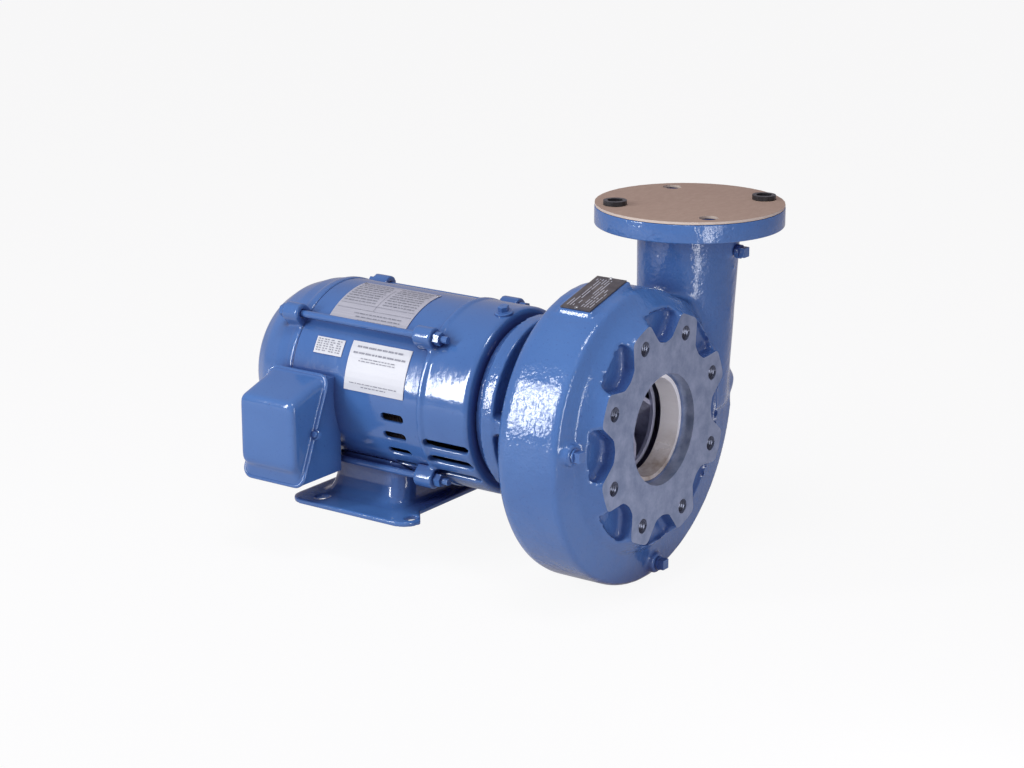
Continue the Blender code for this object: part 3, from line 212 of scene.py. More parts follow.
def machined_iron():
    look = Look("machined iron")
    mottle = look.noise(70, 4, 0.65)
    colour = look.mix(look.range(mottle, 0.35, 0.68, 0.0, 1.0), (0.230, 0.290, 0.430), (0.370, 0.430, 0.580))
    outward = look.node("ShaderNodeCombineXYZ")
    look.feed(outward.inputs["X"], look.shaft_radius())
    rings = look.bands(420, 0.6, outward.outputs["Vector"])
    look.set(Base_Color=colour, Metallic=0.85, Normal=look.bump(rings, 0.00004, 0.8),
             Roughness=look.spread(mottle, 0.34, 0.52))
    return look.material


def thread_metal():
    look = Look("thread metal")
    grime_and_shade = look.noise(260, 3)
    # Painted shade: the threads' colours are kept near black so that the tapped holes read dark inside; the
    # noise adds a random mottle.
    colour = look.mix(grime_and_shade, (0.040, 0.050, 0.080), (0.150, 0.160, 0.210))
    look.set(Base_Color=colour, Metallic=0.9, Normal=look.bump(grime_and_shade, 0.00005, 0.5),
             Roughness=look.spread(grime_and_shade, 0.22, 0.38))
    return look.material


def turned_bronze():
    look = Look("turned bronze")
    stain = look.noise(38, 4, 0.6)
    height = look.axes()[2]
    low = look.range(height, 0.07, 0.105, 0.95, 0.0)
    brown = look.maths("MULTIPLY", look.range(stain, 0.30, 0.66, 0.2, 1.0), low)
    colour = look.mix(brown, (0.960, 0.940, 0.920), (0.300, 0.215, 0.140))
    scratches = look.noise(900, 2, 0.5, look.stretch((0.2, 0.02, 0.02)))
    normal = look.bump(look.bands(330, 0.4), 0.00003, 0.7)
    normal = look.bump(scratches, 0.00003, 0.5, normal)
    round_way = look.node("ShaderNodeTangent", direction_type="RADIAL", axis="X")
    look.set(Base_Color=colour, Metallic=0.20, Normal=normal, Roughness=look.spread(stain, 0.24, 0.40),
             Anisotropic=0.85, Tangent=round_way.outputs["Tangent"])
    return look.material


def cast_bronze():
    look = Look("cast bronze")
    grain = look.noise(160, 4, 0.6)
    colour = look.mix(grain, (0.300, 0.320, 0.450), (0.600, 0.620, 0.740))
    look.set(Base_Color=colour, Metallic=0.20, Normal=look.bump(grain, 0.0006, 0.7),
             Roughness=look.spread(grain, 0.36, 0.6))
    return look.material


def ground_steel():
    look = Look("ground steel")
    grain = look.noise(500, 3, 0.6, look.stretch((1, 0.1, 0.1)))
    colour = look.mix(grain, (0.330, 0.340, 0.360), (0.500, 0.510, 0.530))
    look.set(Base_Color=colour, Metallic=1.0, Normal=look.bump(grain, 0.00004, 0.6),
             Roughness=look.spread(grain, 0.24, 0.40))
    return look.material


def cardboard():
    look = Look("cardboard")
    fibre = look.noise(260, 5, 0.7, look.stretch((1, 0.35, 1)))
    cloud = look.noise(18, 3)
    colour = look.mix(fibre, (0.270, 0.190, 0.145), (0.420, 0.315, 0.250))
    colour = look.mix(look.range(cloud, 0.35, 0.65, 0.0, 0.35), colour, (0.330, 0.235, 0.185))
    facing = look.node("ShaderNodeSeparateXYZ")
    look.feed(facing.inputs["Vector"], look.node("ShaderNodeNewGeometry").outputs["Normal"])
    edge = look.range(look.maths("ABSOLUTE", facing.outputs["Z"]), 0.3, 0.8, 1.0, 0.0)
    colour = look.mix(edge, colour, (0.560, 0.480, 0.410))
    look.set(Base_Color=colour, Roughness=0.86, Normal=look.bump(fibre, 0.00020, 0.7))
    return look.material


def black_plastic():
    look = Look("black plastic")
    grain = look.noise(300, 2)
    colour = look.mix(grain, (0.008, 0.008, 0.010), (0.020, 0.020, 0.024))
    look.set(Base_Color=colour, Normal=look.bump(grain, 0.00006, 0.5),
             Roughness=look.spread(grain, 0.26, 0.42))
    return look.material


def black_rubber():
    look = Look("black rubber")
    grain = look.noise(500, 3)
    look.set(Base_Color=look.mix(grain, (0.010, 0.010, 0.011), (0.026, 0.026, 0.028)),
             Normal=look.bump(grain, 0.00010, 0.6), Roughness=look.spread(grain, 0.6, 0.8))
    return look.material


def winding_varnish():
    look = Look("winding varnish")
    strands = look.bands(160, 5)
    colour = look.mix(strands, (0.012, 0.008, 0.008), (0.060, 0.030, 0.020))
    look.set(Base_Color=colour, Normal=look.bump(strands, 0.0006, 0.9), Roughness=0.42)
    return look.material


def plate_metal():
    look = Look("plate metal")
    brushed = look.noise(700, 2, 0.5, look.stretch((0.03, 1, 1)))
    colour = look.mix(brushed, (0.480, 0.500, 0.570), (0.620, 0.640, 0.700))
    look.set(Base_Color=colour, Metallic=0.5, Normal=look.bump(brushed, 0.00002, 0.6),
             Roughness=look.spread(brushed, 0.28, 0.42))
    return look.material


def dark_plate():
    look = Look("dark plate")
    tarnish = look.noise(60, 4, 0.65)
    colour = look.mix(look.range(tarnish, 0.35, 0.65, 0.0, 1.0), (0.085, 0.078, 0.085), (0.170, 0.155, 0.150))
    look.set(Base_Color=colour, Metallic=0.6, Normal=look.bump(tarnish, 0.00010, 0.5),
             Roughness=look.spread(tarnish, 0.30, 0.48))
    return look.material


def ink():
    look = Look("ink")
    worn = look.noise(900, 3, 0.6)
    colour = look.mix(look.range(worn, 0.35, 0.7, 0.0, 1.0), (0.110, 0.120, 0.160), (0.360, 0.375, 0.420))
    look.set(Base_Color=colour, Normal=look.bump(worn, 0.00002, 0.3), Roughness=look.spread(worn, 0.40, 0.60))
    return look.material


def white_film():
    look = Look("white film")
    cloud = look.noise(30, 3)
    colour = look.mix(cloud, (0.500, 0.530, 0.570), (0.560, 0.585, 0.620))
    look.set(Base_Color=colour, Normal=look.bump(look.noise(120, 2), 0.00006, 0.5),
             Roughness=look.spread(cloud, 0.30, 0.42))
    return look.material


# Sizes of the pump casting

STAR_FACE_X = 0.2460
MACHINING_STOCK = 0.0030
SUCTION_HOLES = 8
SUCTION_BOLT_RADIUS = 0.09525
TAPPED_RADIUS = 0.0074
TAPPED_DEPTH = 0.0128
THREAD_PITCH = 0.0021
THREAD_DEPTH = 0.0011
COUNTERBORE_RADIUS = 0.0550
COUNTERBORE_X = 0.2325
RING_SEAT_RADIUS = 0.0533
POCKET_FLOOR_X = 0.2310
POCKET_RIM_RADIUS = 0.1165
PLUG_OVERLAP = 0.001
EYE_PLUG_START_X = 0.205
TAPPED_PLUG_START_X = 0.2325
TAPPED_WALL_START_X = 0.232
BACK_RECESS = (0.0940, 0.1482, 0.1640)
BORE_STEPS = ((0.0928, 0.140, 0.159), (0.1195, 0.1575, 0.2095), (RING_SEAT_RADIUS, 0.205, 0.240),
              (COUNTERBORE_RADIUS, COUNTERBORE_X, 0.260))
DISCHARGE_X = 0.1860
DISCHARGE_Y = 0.1385
FLANGE_TOP = 0.3033
FLANGE_UNDER = 0.2848
FLANGE_RADIUS = 0.09525
FLANGE_HOLE_RADIUS = 0.0095
FLANGE_BOLT_RADIUS = 0.0762
FLANGE_HOLES = 4
NECK_SPREAD = 0.0580
NECK_START_Z = 0.175
NECK_BASE_Z = 0.235
NECK_MIDDLE_Z = 0.25
# Lumps along the neck's parting line: distance from its centre line, turn, height and size
PARTING_LUMPS = ((0.0490, 0.02, 0.213, 0.0030), (0.0492, -0.05, 0.221, 0.0024),
                 (0.0490, 0.04, 0.229, 0.0028), (0.0489, -0.03, 0.238, 0.0023),
                 (0.0491, 0.03, 0.246, 0.0026), (0.0490, -0.06, 0.203, 0.0033),
                 (0.0490, 0.05, 0.254, 0.0021), (0.0489, -0.01, 0.195, 0.0028))

# Sizes of the motor

FRAME_REAR_X = -0.1416
FRAME_FRONT_X = 0.0185
FRAME_RADIUS = 0.0935
FRAME_WALL = 0.0030
FRAME_SLOTS = 4
FRAME_SLOT_WIDTH = 0.0080
FRAME_SLOT_DEPTH = 0.006
FRAME_SLOT_X = (-0.0275, -0.0005)
FRAME_SLOT_TURN = 187
FRAME_SLOT_STEP = 12.5
SLAT_START_X = 0.0290
SLAT_END_X = 0.0755
SLAT_TURNS = (196.5, 228)
REAR_DOME_X = -0.166
BRACKET_RADIUS = 0.0952
ADAPTER_SCREW_X = 0.0948
ADAPTER_SCREW_RADIUS = 0.0746
GREASE_PLUG_X = 0.0700
BOX_REAR_X = -0.1615
BOX_FRONT_X = -0.0835
BOX_RIM_TOP = (-0.1020, 0.1365)
BOX_RIM_BOTTOM = (-0.1470, 0.0305)
BEAD_UP = Vector((0, 0.9, 0.4))
PRINT_RADIUS = FRAME_RADIUS + 0.00125

# The CAD's rounds have this many flats; turned pieces have FINE_SEGMENTS
ROUND_SEGMENTS = 48
NECK_SEGMENTS = 40
FINE_SEGMENTS = 144


# Shapes

def polar(radius, angle):
    return radius * cos(angle), radius * sin(angle)


def link(piece):
    bpy.context.scene.collection.objects.link(piece)
    return piece


def mesh_piece(name, points, faces, look, smooth=True):
    mesh = bpy.data.meshes.new(name)
    mesh.from_pydata(points, [], faces)
    mesh.materials.append(look)
    piece = link(bpy.data.objects.new(name, mesh))
    tidy_mesh(piece, smooth)
    return piece


def tidy_mesh(piece, smooth=True):
    data = bmesh.new()
    data.from_mesh(piece.data)
    bmesh.ops.remove_doubles(data, verts=data.verts, dist=0.00001)
    bmesh.ops.recalc_face_normals(data, faces=data.faces)
    data.to_mesh(piece.data)
    data.free()
    if smooth:
        piece.data.shade_smooth()
        piece.data.set_sharp_from_angle(angle=radians(35))


def copy_node(node, name):
    """A piece that starts from a CAD node's own mesh."""
    piece = link(bpy.data.objects.new(name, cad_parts[node].data.copy()))
    tidy_mesh(piece)
    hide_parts(node)
    return piece


def shape(piece, kind, **settings):
    """Run one modifier on a piece and keep its result."""
    step = piece.modifiers.new(kind.title(), kind)
    for key, value in settings.items():
        setattr(step, key, value)
    result = bpy.data.meshes.new_from_object(piece.evaluated_get(bpy.context.evaluated_depsgraph_get()))
    piece.modifiers.clear()
    piece.data = result
    return piece


def cut(piece, *tools):
    for tool in tools:
        shape(piece, "BOOLEAN", operation="DIFFERENCE", solver="EXACT", object=tool)
        bpy.data.objects.remove(tool, do_unlink=True)
    return piece


def along_shaft(centre=(0, 0)):
    """Places a round's points about a line beside the shaft, given as (y, z) from it."""
    return lambda x, a, b: (x, centre[0] + a, SHAFT_HEIGHT + centre[1] + b)


def upright(centre):
    """Places a round's points about an upright line."""
    return lambda z, a, b: (centre[0] + a, centre[1] + b, z)


def revolved(name, profile, look, place, segments=FINE_SEGMENTS):
    """Spin a closed outline of (height, radius) points; place(height, a, b) sets each one down."""
    points, faces = [], []
    count = len(profile)
    for i in range(segments):
        points += [place(height, *polar(radius, tau * i / segments)) for height, radius in profile]
        here, there = i * count, (i + 1) % segments * count
        for j in range(count):
            k = (j + 1) % count
            faces.append((here + j, here + k, there + k, there + j))
    return mesh_piece(name, points, faces, look)


def stacked_faces(rows, count):
    """Faces of a solid made of closed rings of points, one above the other."""
    last = (rows - 1) * count
    faces = [tuple(range(count)), tuple(range(last, last + count))]
    for row in range(rows - 1):
        first = row * count
        faces += [(first + i, first + (i + 1) % count, first + count + (i + 1) % count, first + count + i)
                  for i in range(count)]
    return faces


def bar(name, radius, start, end, look, place, segments=32):
    """Solid round bar."""
    points = [place(height, *polar(radius, tau * i / segments)) for height in (start, end)
              for i in range(segments)]
    return mesh_piece(name, points, stacked_faces(2, segments), look)


def knob(name, centre, axis, profile, look, segments=24):
    """Solid of revolution about any line: (height, radius) points, closed at both ends."""
    axis = Vector(axis).normalized()
    side = axis.orthogonal().normalized()
    across = axis.cross(side)
    centre = Vector(centre)
    points = [tuple(centre + axis * height + side * radius * cos(tau * i / segments)
                    + across * radius * sin(tau * i / segments))
              for height, radius in profile for i in range(segments)]
    return mesh_piece(name, points, stacked_faces(len(profile), segments), look)


def rounded_box(start, end, width, corner, steps=6):
    """Outline of a rounded rectangle, as (x, v) points."""
    outline = []
    for x, v, turn in ((end - corner, width / 2 - corner, 0), (start + corner, width / 2 - corner, 1),
                       (start + corner, corner - width / 2, 2), (end - corner, corner - width / 2, 3)):
        for i in range(steps + 1):
            angle = pi / 2 * (turn + i / steps)
            outline.append((x + corner * cos(angle), v + corner * sin(angle)))
    return outline


def slot_cutter(angle, width, start, end, radius, depth, look):
    """Cutter for a slot punched through a barrel, flared where it comes out to round the edge."""
    points = []
    levels = ((radius - depth, 0), (radius - 0.0016, 0), (radius - 0.0006, 0.0003),
              (radius + 0.0002, 0.0011), (radius + 0.0040, 0.0060))
    for reach, flare in levels:
        for x, v in rounded_box(start - flare, end + flare, width + 2 * flare, width * 0.48 + flare):
            y, z = polar(reach, angle)
            dy, dz = polar(v, angle + pi / 2)
            points.append((x, y + dy, SHAFT_HEIGHT + z + dz))
    faces = stacked_faces(len(levels), len(points) // len(levels))
    return mesh_piece("slot cutter", points, faces, look)


def slab(name, low, high, look):
    """Square-edged block, used only as a cutter."""
    points = [(x, y, z) for x in (low[0], high[0]) for y in (low[1], high[1]) for z in (low[2], high[2])]
    faces = [(0, 1, 3, 2), (4, 5, 7, 6), (0, 1, 5, 4), (2, 3, 7, 6), (0, 2, 6, 4), (1, 3, 7, 5)]
    return mesh_piece(name, points, faces, look, smooth=False)


def chord_factor(angle, segments, phase):
    """How far to push a point out so that a faceted round becomes a true one."""
    step = tau / segments
    off = (angle - phase) % step - step / 2
    return cos(off) / cos(step / 2)


def round_about_shaft(piece, phase, skip=None):
    """Push the CAD's flats about the shaft out to a true round."""
    for vertex in piece.data.vertices:
        place = vertex.co
        if skip and skip(place):
            continue
        y, z = place.y, place.z - SHAFT_HEIGHT
        push = chord_factor(atan2(z, y), ROUND_SEGMENTS, phase)
        place.y = y * push
        place.z = SHAFT_HEIGHT + z * push


def round_about_neck(piece, inside):
    """The same for the flats about the discharge neck."""
    for vertex in piece.data.vertices:
        place = vertex.co
        if inside(place):
            x, y = place.x - DISCHARGE_X, place.y - DISCHARGE_Y
            push = chord_factor(atan2(y, x), NECK_SEGMENTS, 0)
            place.x = DISCHARGE_X + x * push
            place.y = DISCHARGE_Y + y * push


def set_material(piece, *looks):
    piece.data.materials.clear()
    for look in looks:
        piece.data.materials.append(look)


def mark_faces(piece, index, test):
    """Give the faces that pass a test the piece's material of that number."""
    for face in piece.data.polygons:
        if test(face.center, face.normal):
            face.material_index = index


def smooth_faces(piece):
    for face in piece.data.polygons:
        face.use_smooth = True


# Pump casting

def in_neck(place):
    """Whether a point is on the discharge neck."""
    return place.z > NECK_START_Z and hypot(place.x - DISCHARGE_X, place.y - DISCHARGE_Y) < NECK_SPREAD


def tapped_centre(index):
    return polar(SUCTION_BOLT_RADIUS, tau * (index + 0.5) / SUCTION_HOLES)


def flange_centre(index):
    x, y = polar(FLANGE_BOLT_RADIUS, tau * (index + 0.5) / FLANGE_HOLES)
    return DISCHARGE_X + x, DISCHARGE_Y + y


def merged(piece, *others):
    """Put other pieces' meshes into one piece, for the remesh to weld."""
    data = bmesh.new()
    data.from_mesh(piece.data)
    for other in others:
        data.from_mesh(other.data)
        bpy.data.objects.remove(other, do_unlink=True)
    data.to_mesh(piece.data)
    data.free()


def smooth_where(piece, passes, weight):
    """Extra smoothing where weight(place) is above nothing."""
    group = piece.vertex_groups.new(name="extra")
    for vertex in piece.data.vertices:
        share = weight(vertex.co)
        if share > 0:
            group.add([vertex.index], min(1.0, share), "REPLACE")
    shape(piece, "SMOOTH", factor=0.5, iterations=passes, vertex_group="extra")
    piece.vertex_groups.clear()


def neck_fillet(place):
    """How near a point is to the corner between the neck and the spiral."""
    off = hypot(place.x - DISCHARGE_X, place.y - DISCHARGE_Y)
    reach = hypot(place.y, place.z - SHAFT_HEIGHT)
    if place.z < 0.19 or place.z > 0.262 or off > 0.085 or reach > 0.19:
        return 0
    return 1.4 - abs(off - 0.056) / 0.018 - max(0, place.z - NECK_BASE_Z) / 0.02


def neck_foot(place):
    """Where the neck's round runs out into the spiral's side."""
    off = hypot(place.x - DISCHARGE_X, place.y - DISCHARGE_Y)
    reach = hypot(place.y, place.z - SHAFT_HEIGHT)
    if off > 0.066 or reach < 0.124 or place.x < 0.19:
        return 0
    return min(1.0, (place.z - 0.095) / 0.008, (0.168 - place.z) / 0.012, (reach - 0.124) / 0.004)


def pocket_edge(place):
    """How near a point is to a pocket's outer rim or the corner of its floor."""
    reach = hypot(place.y, place.z - SHAFT_HEIGHT)
    if place.x < 0.2285 or place.z > 0.245 or reach < 0.082:
        return 0
    rim = 1.3 - abs(reach - POCKET_RIM_RADIUS) / 0.006
    floor = 1.2 - abs(place.x - POCKET_FLOOR_X) / 0.0035
    return max(rim, floor)


def casing_plugs(cast, stock):
    """Solids that fill the openings while the edges are rounded, and the parting line's lumps."""
    radius, start, end = BACK_RECESS
    plugs = [bar("plug", COUNTERBORE_RADIUS + PLUG_OVERLAP, EYE_PLUG_START_X, stock, cast, along_shaft(), 96),
             bar("plug", radius, start, end, cast, along_shaft(), 96)]
    plugs += [bar("plug", TAPPED_RADIUS + PLUG_OVERLAP, TAPPED_PLUG_START_X, stock, cast,
                  along_shaft(tapped_centre(i))) for i in range(SUCTION_HOLES)]
    plugs.append(bar("plug", 0.040, 0.270, FLANGE_TOP, cast, upright((DISCHARGE_X, DISCHARGE_Y)), 48))
    for reach, turn, z, size in PARTING_LUMPS:
        x, y = DISCHARGE_X + reach * cos(turn), DISCHARGE_Y + reach * sin(turn)
        profile = ((-size, size * 0.4), (-size * 0.4, size), (size * 0.5, size), (size, size * 0.3))
        plugs.append(knob("lump", (x, y, z), (0, 0, 1), profile, cast, 10))
    return plugs


def casing_cutters(cast, bare):
    """The machining: star face, stepped bore, tapped holes and flange holes."""
    low, high = (STAR_FACE_X, -0.14, SHAFT_HEIGHT - 0.14), (0.27, 0.14, SHAFT_HEIGHT + 0.135)
    cutters = [slab("face cutter", low, high, bare)]
    cutters += [bar("bore cutter", radius, start, end, bare, along_shaft(), 96)
                for radius, start, end in BORE_STEPS]
    cutters += [bar("hole cutter", TAPPED_RADIUS, STAR_FACE_X - TAPPED_DEPTH, 0.26, bare,
                    along_shaft(tapped_centre(i))) for i in range(SUCTION_HOLES)]
    cutters += [bar("hole cutter", FLANGE_HOLE_RADIUS, 0.27, 0.32, cast, upright(flange_centre(i)))
                for i in range(FLANGE_HOLES)]
    return cutters


def casing(cast, bare):
    """The casing: every edge rounded as a foundry leaves it, then machined where the real one is."""
    piece = copy_node("volute_casing", "casing_casting")
    stock = STAR_FACE_X + MACHINING_STOCK
    for vertex in piece.data.vertices:
        if vertex.co.x > STAR_FACE_X - 0.0002 and vertex.co.z < NECK_MIDDLE_Z:
            vertex.co.x = stock
    merged(piece, *casing_plugs(cast, stock))
    shape(piece, "REMESH", mode="VOXEL", voxel_size=0.0019, use_smooth_shade=True)
    half_flat = tau / ROUND_SEGMENTS / 2
    round_about_shaft(piece, half_flat, lambda place: place.z > NECK_BASE_Z or in_neck(place))
    round_about_neck(piece, in_neck)
    shape(piece, "SMOOTH", factor=0.5, iterations=4)
    smooth_where(piece, 60, neck_fillet)
    smooth_where(piece, 14, pocket_edge)
    cut(piece, *casing_cutters(cast, bare))
    smooth_where(piece, 60, neck_foot)
    set_material(piece, cast, bare)
    mark_faces(piece, 1, lambda place, out: place.x > STAR_FACE_X - 0.0001 and out.x > 0.9
               and place.z < NECK_MIDDLE_Z)
    mark_faces(piece, 1, lambda place, out: place.x > COUNTERBORE_X - 0.001
               and hypot(place.y, place.z - SHAFT_HEIGHT) < COUNTERBORE_RADIUS + 0.0002)
    for i in range(SUCTION_HOLES):
        y, z = tapped_centre(i)
        mark_faces(piece, 1, lambda place, out: place.x > TAPPED_WALL_START_X
                   and hypot(place.y - y, place.z - SHAFT_HEIGHT - z) < TAPPED_RADIUS + 0.0002)
    smooth_faces(piece)
    piece.data.set_sharp_from_angle(angle=radians(40))
    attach(piece, "pump_and_motor")


def threads(look):
    """The tapped holes' threads, a true helix in each: its last facet joins the turn below."""
    points, faces = [], []
    steps = 28
    rows = 2 * int(TAPPED_DEPTH / THREAD_PITCH)
    for hole in range(SUCTION_HOLES):
        centre = tapped_centre(hole)
        first = len(points)
        for row in range(rows + 1):
            radius = TAPPED_RADIUS - (THREAD_DEPTH if row % 2 else 0.0001)
            for i in range(steps):
                x = STAR_FACE_X - 0.0003 - THREAD_PITCH * (row / 2 + i / steps)
                y, z = polar(radius, tau * i / steps)
                points.append((x, centre[0] + y, SHAFT_HEIGHT + centre[1] + z))
        for row in range(rows):
            for i in range(steps):
                j = i + 1
                if j < steps:
                    faces.append((first + row * steps + i, first + row * steps + j,
                                  first + (row + 1) * steps + j, first + (row + 1) * steps + i))
                elif row + 3 <= rows:
                    faces.append((first + row * steps + i, first + (row + 2) * steps,
                                  first + (row + 3) * steps, first + (row + 1) * steps + i))
    piece = mesh_piece("tapped_threads", points, faces, look)
    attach(piece, "pump_and_motor")


def discharge_flange(cast):
    """The round flange, turned true with rounded edges."""
    edge = 0.0012
    inner = 0.045
    under, top = FLANGE_UNDER - 0.0002, FLANGE_TOP - 0.0001
    outer = FLANGE_RADIUS
    profile = [(under, inner)]
    for i in range(5):
        turn = pi / 2 * i / 4
        profile.append((under + edge * (1 - cos(turn)), outer - edge * (1 - sin(turn))))
    for i in range(5):
        turn = pi / 2 * i / 4
        profile.append((top - edge * (1 - sin(turn)), outer - edge * (1 - cos(turn))))
    profile.append((top, inner))
    piece = revolved("discharge_flange", profile, cast, upright((DISCHARGE_X, DISCHARGE_Y)), 192)
    for i in range(FLANGE_HOLES):
        cut(piece, bar("hole cutter", FLANGE_HOLE_RADIUS - 0.0002, under - 0.01, top + 0.01, cast,
                       upright(flange_centre(i))))
    piece.data.set_sharp_from_angle(angle=radians(50))
    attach(piece, "pump_and_motor")


def softened(node, look, voxel, passes, phase=None):
    """A cast or drawn part with its corners rounded."""
    piece = copy_node(node, node + "_softened")
    shape(piece, "REMESH", mode="VOXEL", voxel_size=voxel, use_smooth_shade=True)
    if phase is not None:
        round_about_shaft(piece, phase)
    shape(piece, "SMOOTH", factor=0.5, iterations=passes)
    set_material(piece, look)
    smooth_faces(piece)
    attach(piece, "pump_and_motor")
    return piece


# Motor

def motor_pieces(sheet):
    inner = FRAME_RADIUS - FRAME_WALL
    outline = ((FRAME_REAR_X, inner), (FRAME_REAR_X, FRAME_RADIUS), (FRAME_FRONT_X, FRAME_RADIUS),
               (FRAME_FRONT_X, inner))
    barrel = revolved("stator_frame_rolled", outline, sheet, along_shaft())
    for i in range(FRAME_SLOTS):
        angle = radians(FRAME_SLOT_TURN + FRAME_SLOT_STEP * i)
        for turn in (angle, pi - angle):
            cut(barrel, slot_cutter(turn, FRAME_SLOT_WIDTH, *FRAME_SLOT_X, FRAME_RADIUS, FRAME_SLOT_DEPTH,
                                    sheet))
    barrel.data.set_sharp_from_angle(angle=radians(40))
    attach(barrel, "pump_and_motor")
    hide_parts("stator_frame")
    bracket = softened("drive_end_bracket", sheet, 0.0015, 3, 0)
    smooth_where(bracket, 26, slats)
    smooth_faces(bracket)
    cover = softened("terminal_box_cover", sheet, 0.0013, 3)
    smooth_where(cover, 70, box_face)
    smooth_faces(cover)
    small_parts(sheet)


def rear_dome(sheet):
    dome = softened("rear_end_bracket", sheet, 0.0016, 4, 0)
    smooth_where(dome, 50, lambda place: min(1.0, (REAR_DOME_X - place.x) / 0.01))
    smooth_faces(dome)


def slats(place):
    """Where the drive-end bracket's louvre bars are, between its slots."""
    turn = atan2(place.z - SHAFT_HEIGHT, -abs(place.y)) % tau
    if hypot(place.y, place.z - SHAFT_HEIGHT) < 0.080 or not SLAT_START_X < place.x < SLAT_END_X:
        return 0
    if not radians(SLAT_TURNS[0]) < turn < radians(SLAT_TURNS[1]):
        return 0
    return min(1.0, (place.x - SLAT_START_X) / 0.004, (SLAT_END_X - place.x) / 0.004)


def rim_distance(place):
    """How far a point stands out from the terminal box's slanted parting face."""
    rise = Vector((BOX_RIM_TOP[0] - BOX_RIM_BOTTOM[0], BOX_RIM_TOP[1] - BOX_RIM_BOTTOM[1])).normalized()
    return (place.y - BOX_RIM_BOTTOM[0]) * -rise.y + (place.z - BOX_RIM_BOTTOM[1]) * rise.x


def box_face(place):
    """How far a point is onto the box's domed face, clear of its rim."""
    return min(1.0, (rim_distance(place) - 0.0065) / 0.006)


def tube(name, path, radius, look, sides=12):
    """Round bead along a closed run of points."""
    points, faces = [], []
    count = len(path)
    for i in range(count):
        along = (path[(i + 1) % count] - path[i - 1]).normalized()
        side = along.cross(BEAD_UP).normalized()
        other = side.cross(along)
        points += [tuple(path[i] + radius * (cos(tau * j / sides) * side + sin(tau * j / sides) * other))
                   for j in range(sides)]
        here, there = i * sides, (i + 1) % count * sides
        for j in range(sides):
            k = (j + 1) % sides
            faces.append((here + j, here + k, there + k, there + j))
    return mesh_piece(name, points, faces, look)


def box_rim(sheet):
    """The rolled rim of the terminal box's cover."""
    top, low = Vector(BOX_RIM_TOP), Vector(BOX_RIM_BOTTOM)
    up = (top - low).normalized()
    middle = (top + low) / 2 + Vector((-up.y, up.x)) * 0.0022
    outline = rounded_box(BOX_REAR_X + 0.0010, BOX_FRONT_X - 0.0010, (top - low).length - 0.0020, 0.0100, 8)
    path = [Vector((x, *(middle + up * v))) for x, v in outline]
    return tube("terminal_box_rim", path, 0.0023, sheet)


# Small fittings: (height, radius) points of each
EAR = ((0.0002, 0.0046), (0.0004, 0.0054), (0.0040, 0.0054), (0.0046, 0.0048))
EAR_SCREW = ((0.0046, 0.0034), (0.0056, 0.0034), (0.0068, 0.0026), (0.0072, 0.0012))
HEX_SCREW = ((0, 0.0082), (0.0008, 0.0082), (0.0009, 0.0070), (0.0052, 0.0070), (0.0060, 0.0060))
GREASE_PLUG = ((0, 0.0072), (0.0030, 0.0072), (0.0034, 0.0058), (0.0080, 0.0058), (0.0088, 0.0048))
GREASE_COLLAR = ((0, 0.0095), (0.0020, 0.0095), (0.0028, 0.0086))
CASING_PIN = ((-0.0002, 0.0021), (0.0004, 0.0021), (0.0009, 0.0016), (0.0012, 0.0007))
MOTOR_PIN = ((-0.0004, 0.0017), (0.0003, 0.0017), (0.0007, 0.0012), (0.0009, 0.0005))


def small_parts(sheet):
    """Screws, ears and bolt heads too small for the source."""
    top, low = Vector(BOX_RIM_TOP), Vector(BOX_RIM_BOTTOM)
    up = (top - low).normalized()
    out = Vector((0, -up.y, up.x))
    middle = top.lerp(low, 0.52)
    ear = Vector((BOX_FRONT_X + 0.0010, middle.x, middle.y))
    made = [knob("box_ear", ear, out, EAR, sheet), knob("box_screw", ear, out, EAR_SCREW, sheet, 20),
            box_rim(sheet)]
    for i in range(4):
        y, z = polar(ADAPTER_SCREW_RADIUS, tau * (i + 0.5) / 4)
        made.append(knob(f"adapter_screw_{i + 1}", (ADAPTER_SCREW_X, y, SHAFT_HEIGHT + z), (1, 0, 0),
                         HEX_SCREW, sheet, 6))
    y, z = polar(BRACKET_RADIUS - 0.0010, radians(101))
    seat = (GREASE_PLUG_X, y, SHAFT_HEIGHT + z)
    made += [knob("grease_plug", seat, (0, y, z), GREASE_PLUG, sheet, 6),
             knob("grease_plug_collar", seat, (0, y, z), GREASE_COLLAR, sheet, 24)]
    for piece in made:
        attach(piece, "pump_and_motor")


# Prints: plain blocks and rules where the real plates carry words

SQUARE_LABEL_X = (-0.0700, -0.0030)
# Its rows' turn and height in degrees, and how far each is set in
SQUARE_LABEL_ROWS = ((146.2, 1.1, 0.004), (150.2, 1.1, 0.001), (153.6, 0.6, 0.012), (155.2, 0.6, 0.010),
                     (169.0, 0.6, 0.003), (170.8, 0.6, 0.018))
RATING_LABEL_X = -0.1165
RATING_COLUMN_STEP = 0.0082
RATING_COLUMN_WIDTH = 0.0060
MOTOR_PLATE_X = (-0.1140, -0.0250)
MOTOR_PLATE_MIDDLE = -0.0680
MOTOR_PLATE_RULE_X = (-0.1150, -0.0215)
WORD_GAP = 0.0012


def word_row(marks, x0, x1, angle, height, seed, longest):
    """Add blocks of uneven length from x0 to x1; angle and height are in degrees."""
    pick = Random(seed)
    x = x0
    while x < x1 - WORD_GAP:
        end = min(x1, x + pick.uniform(0.0018, longest))
        marks.append((x, end, radians(angle), radians(angle + height)))
        x = end + WORD_GAP


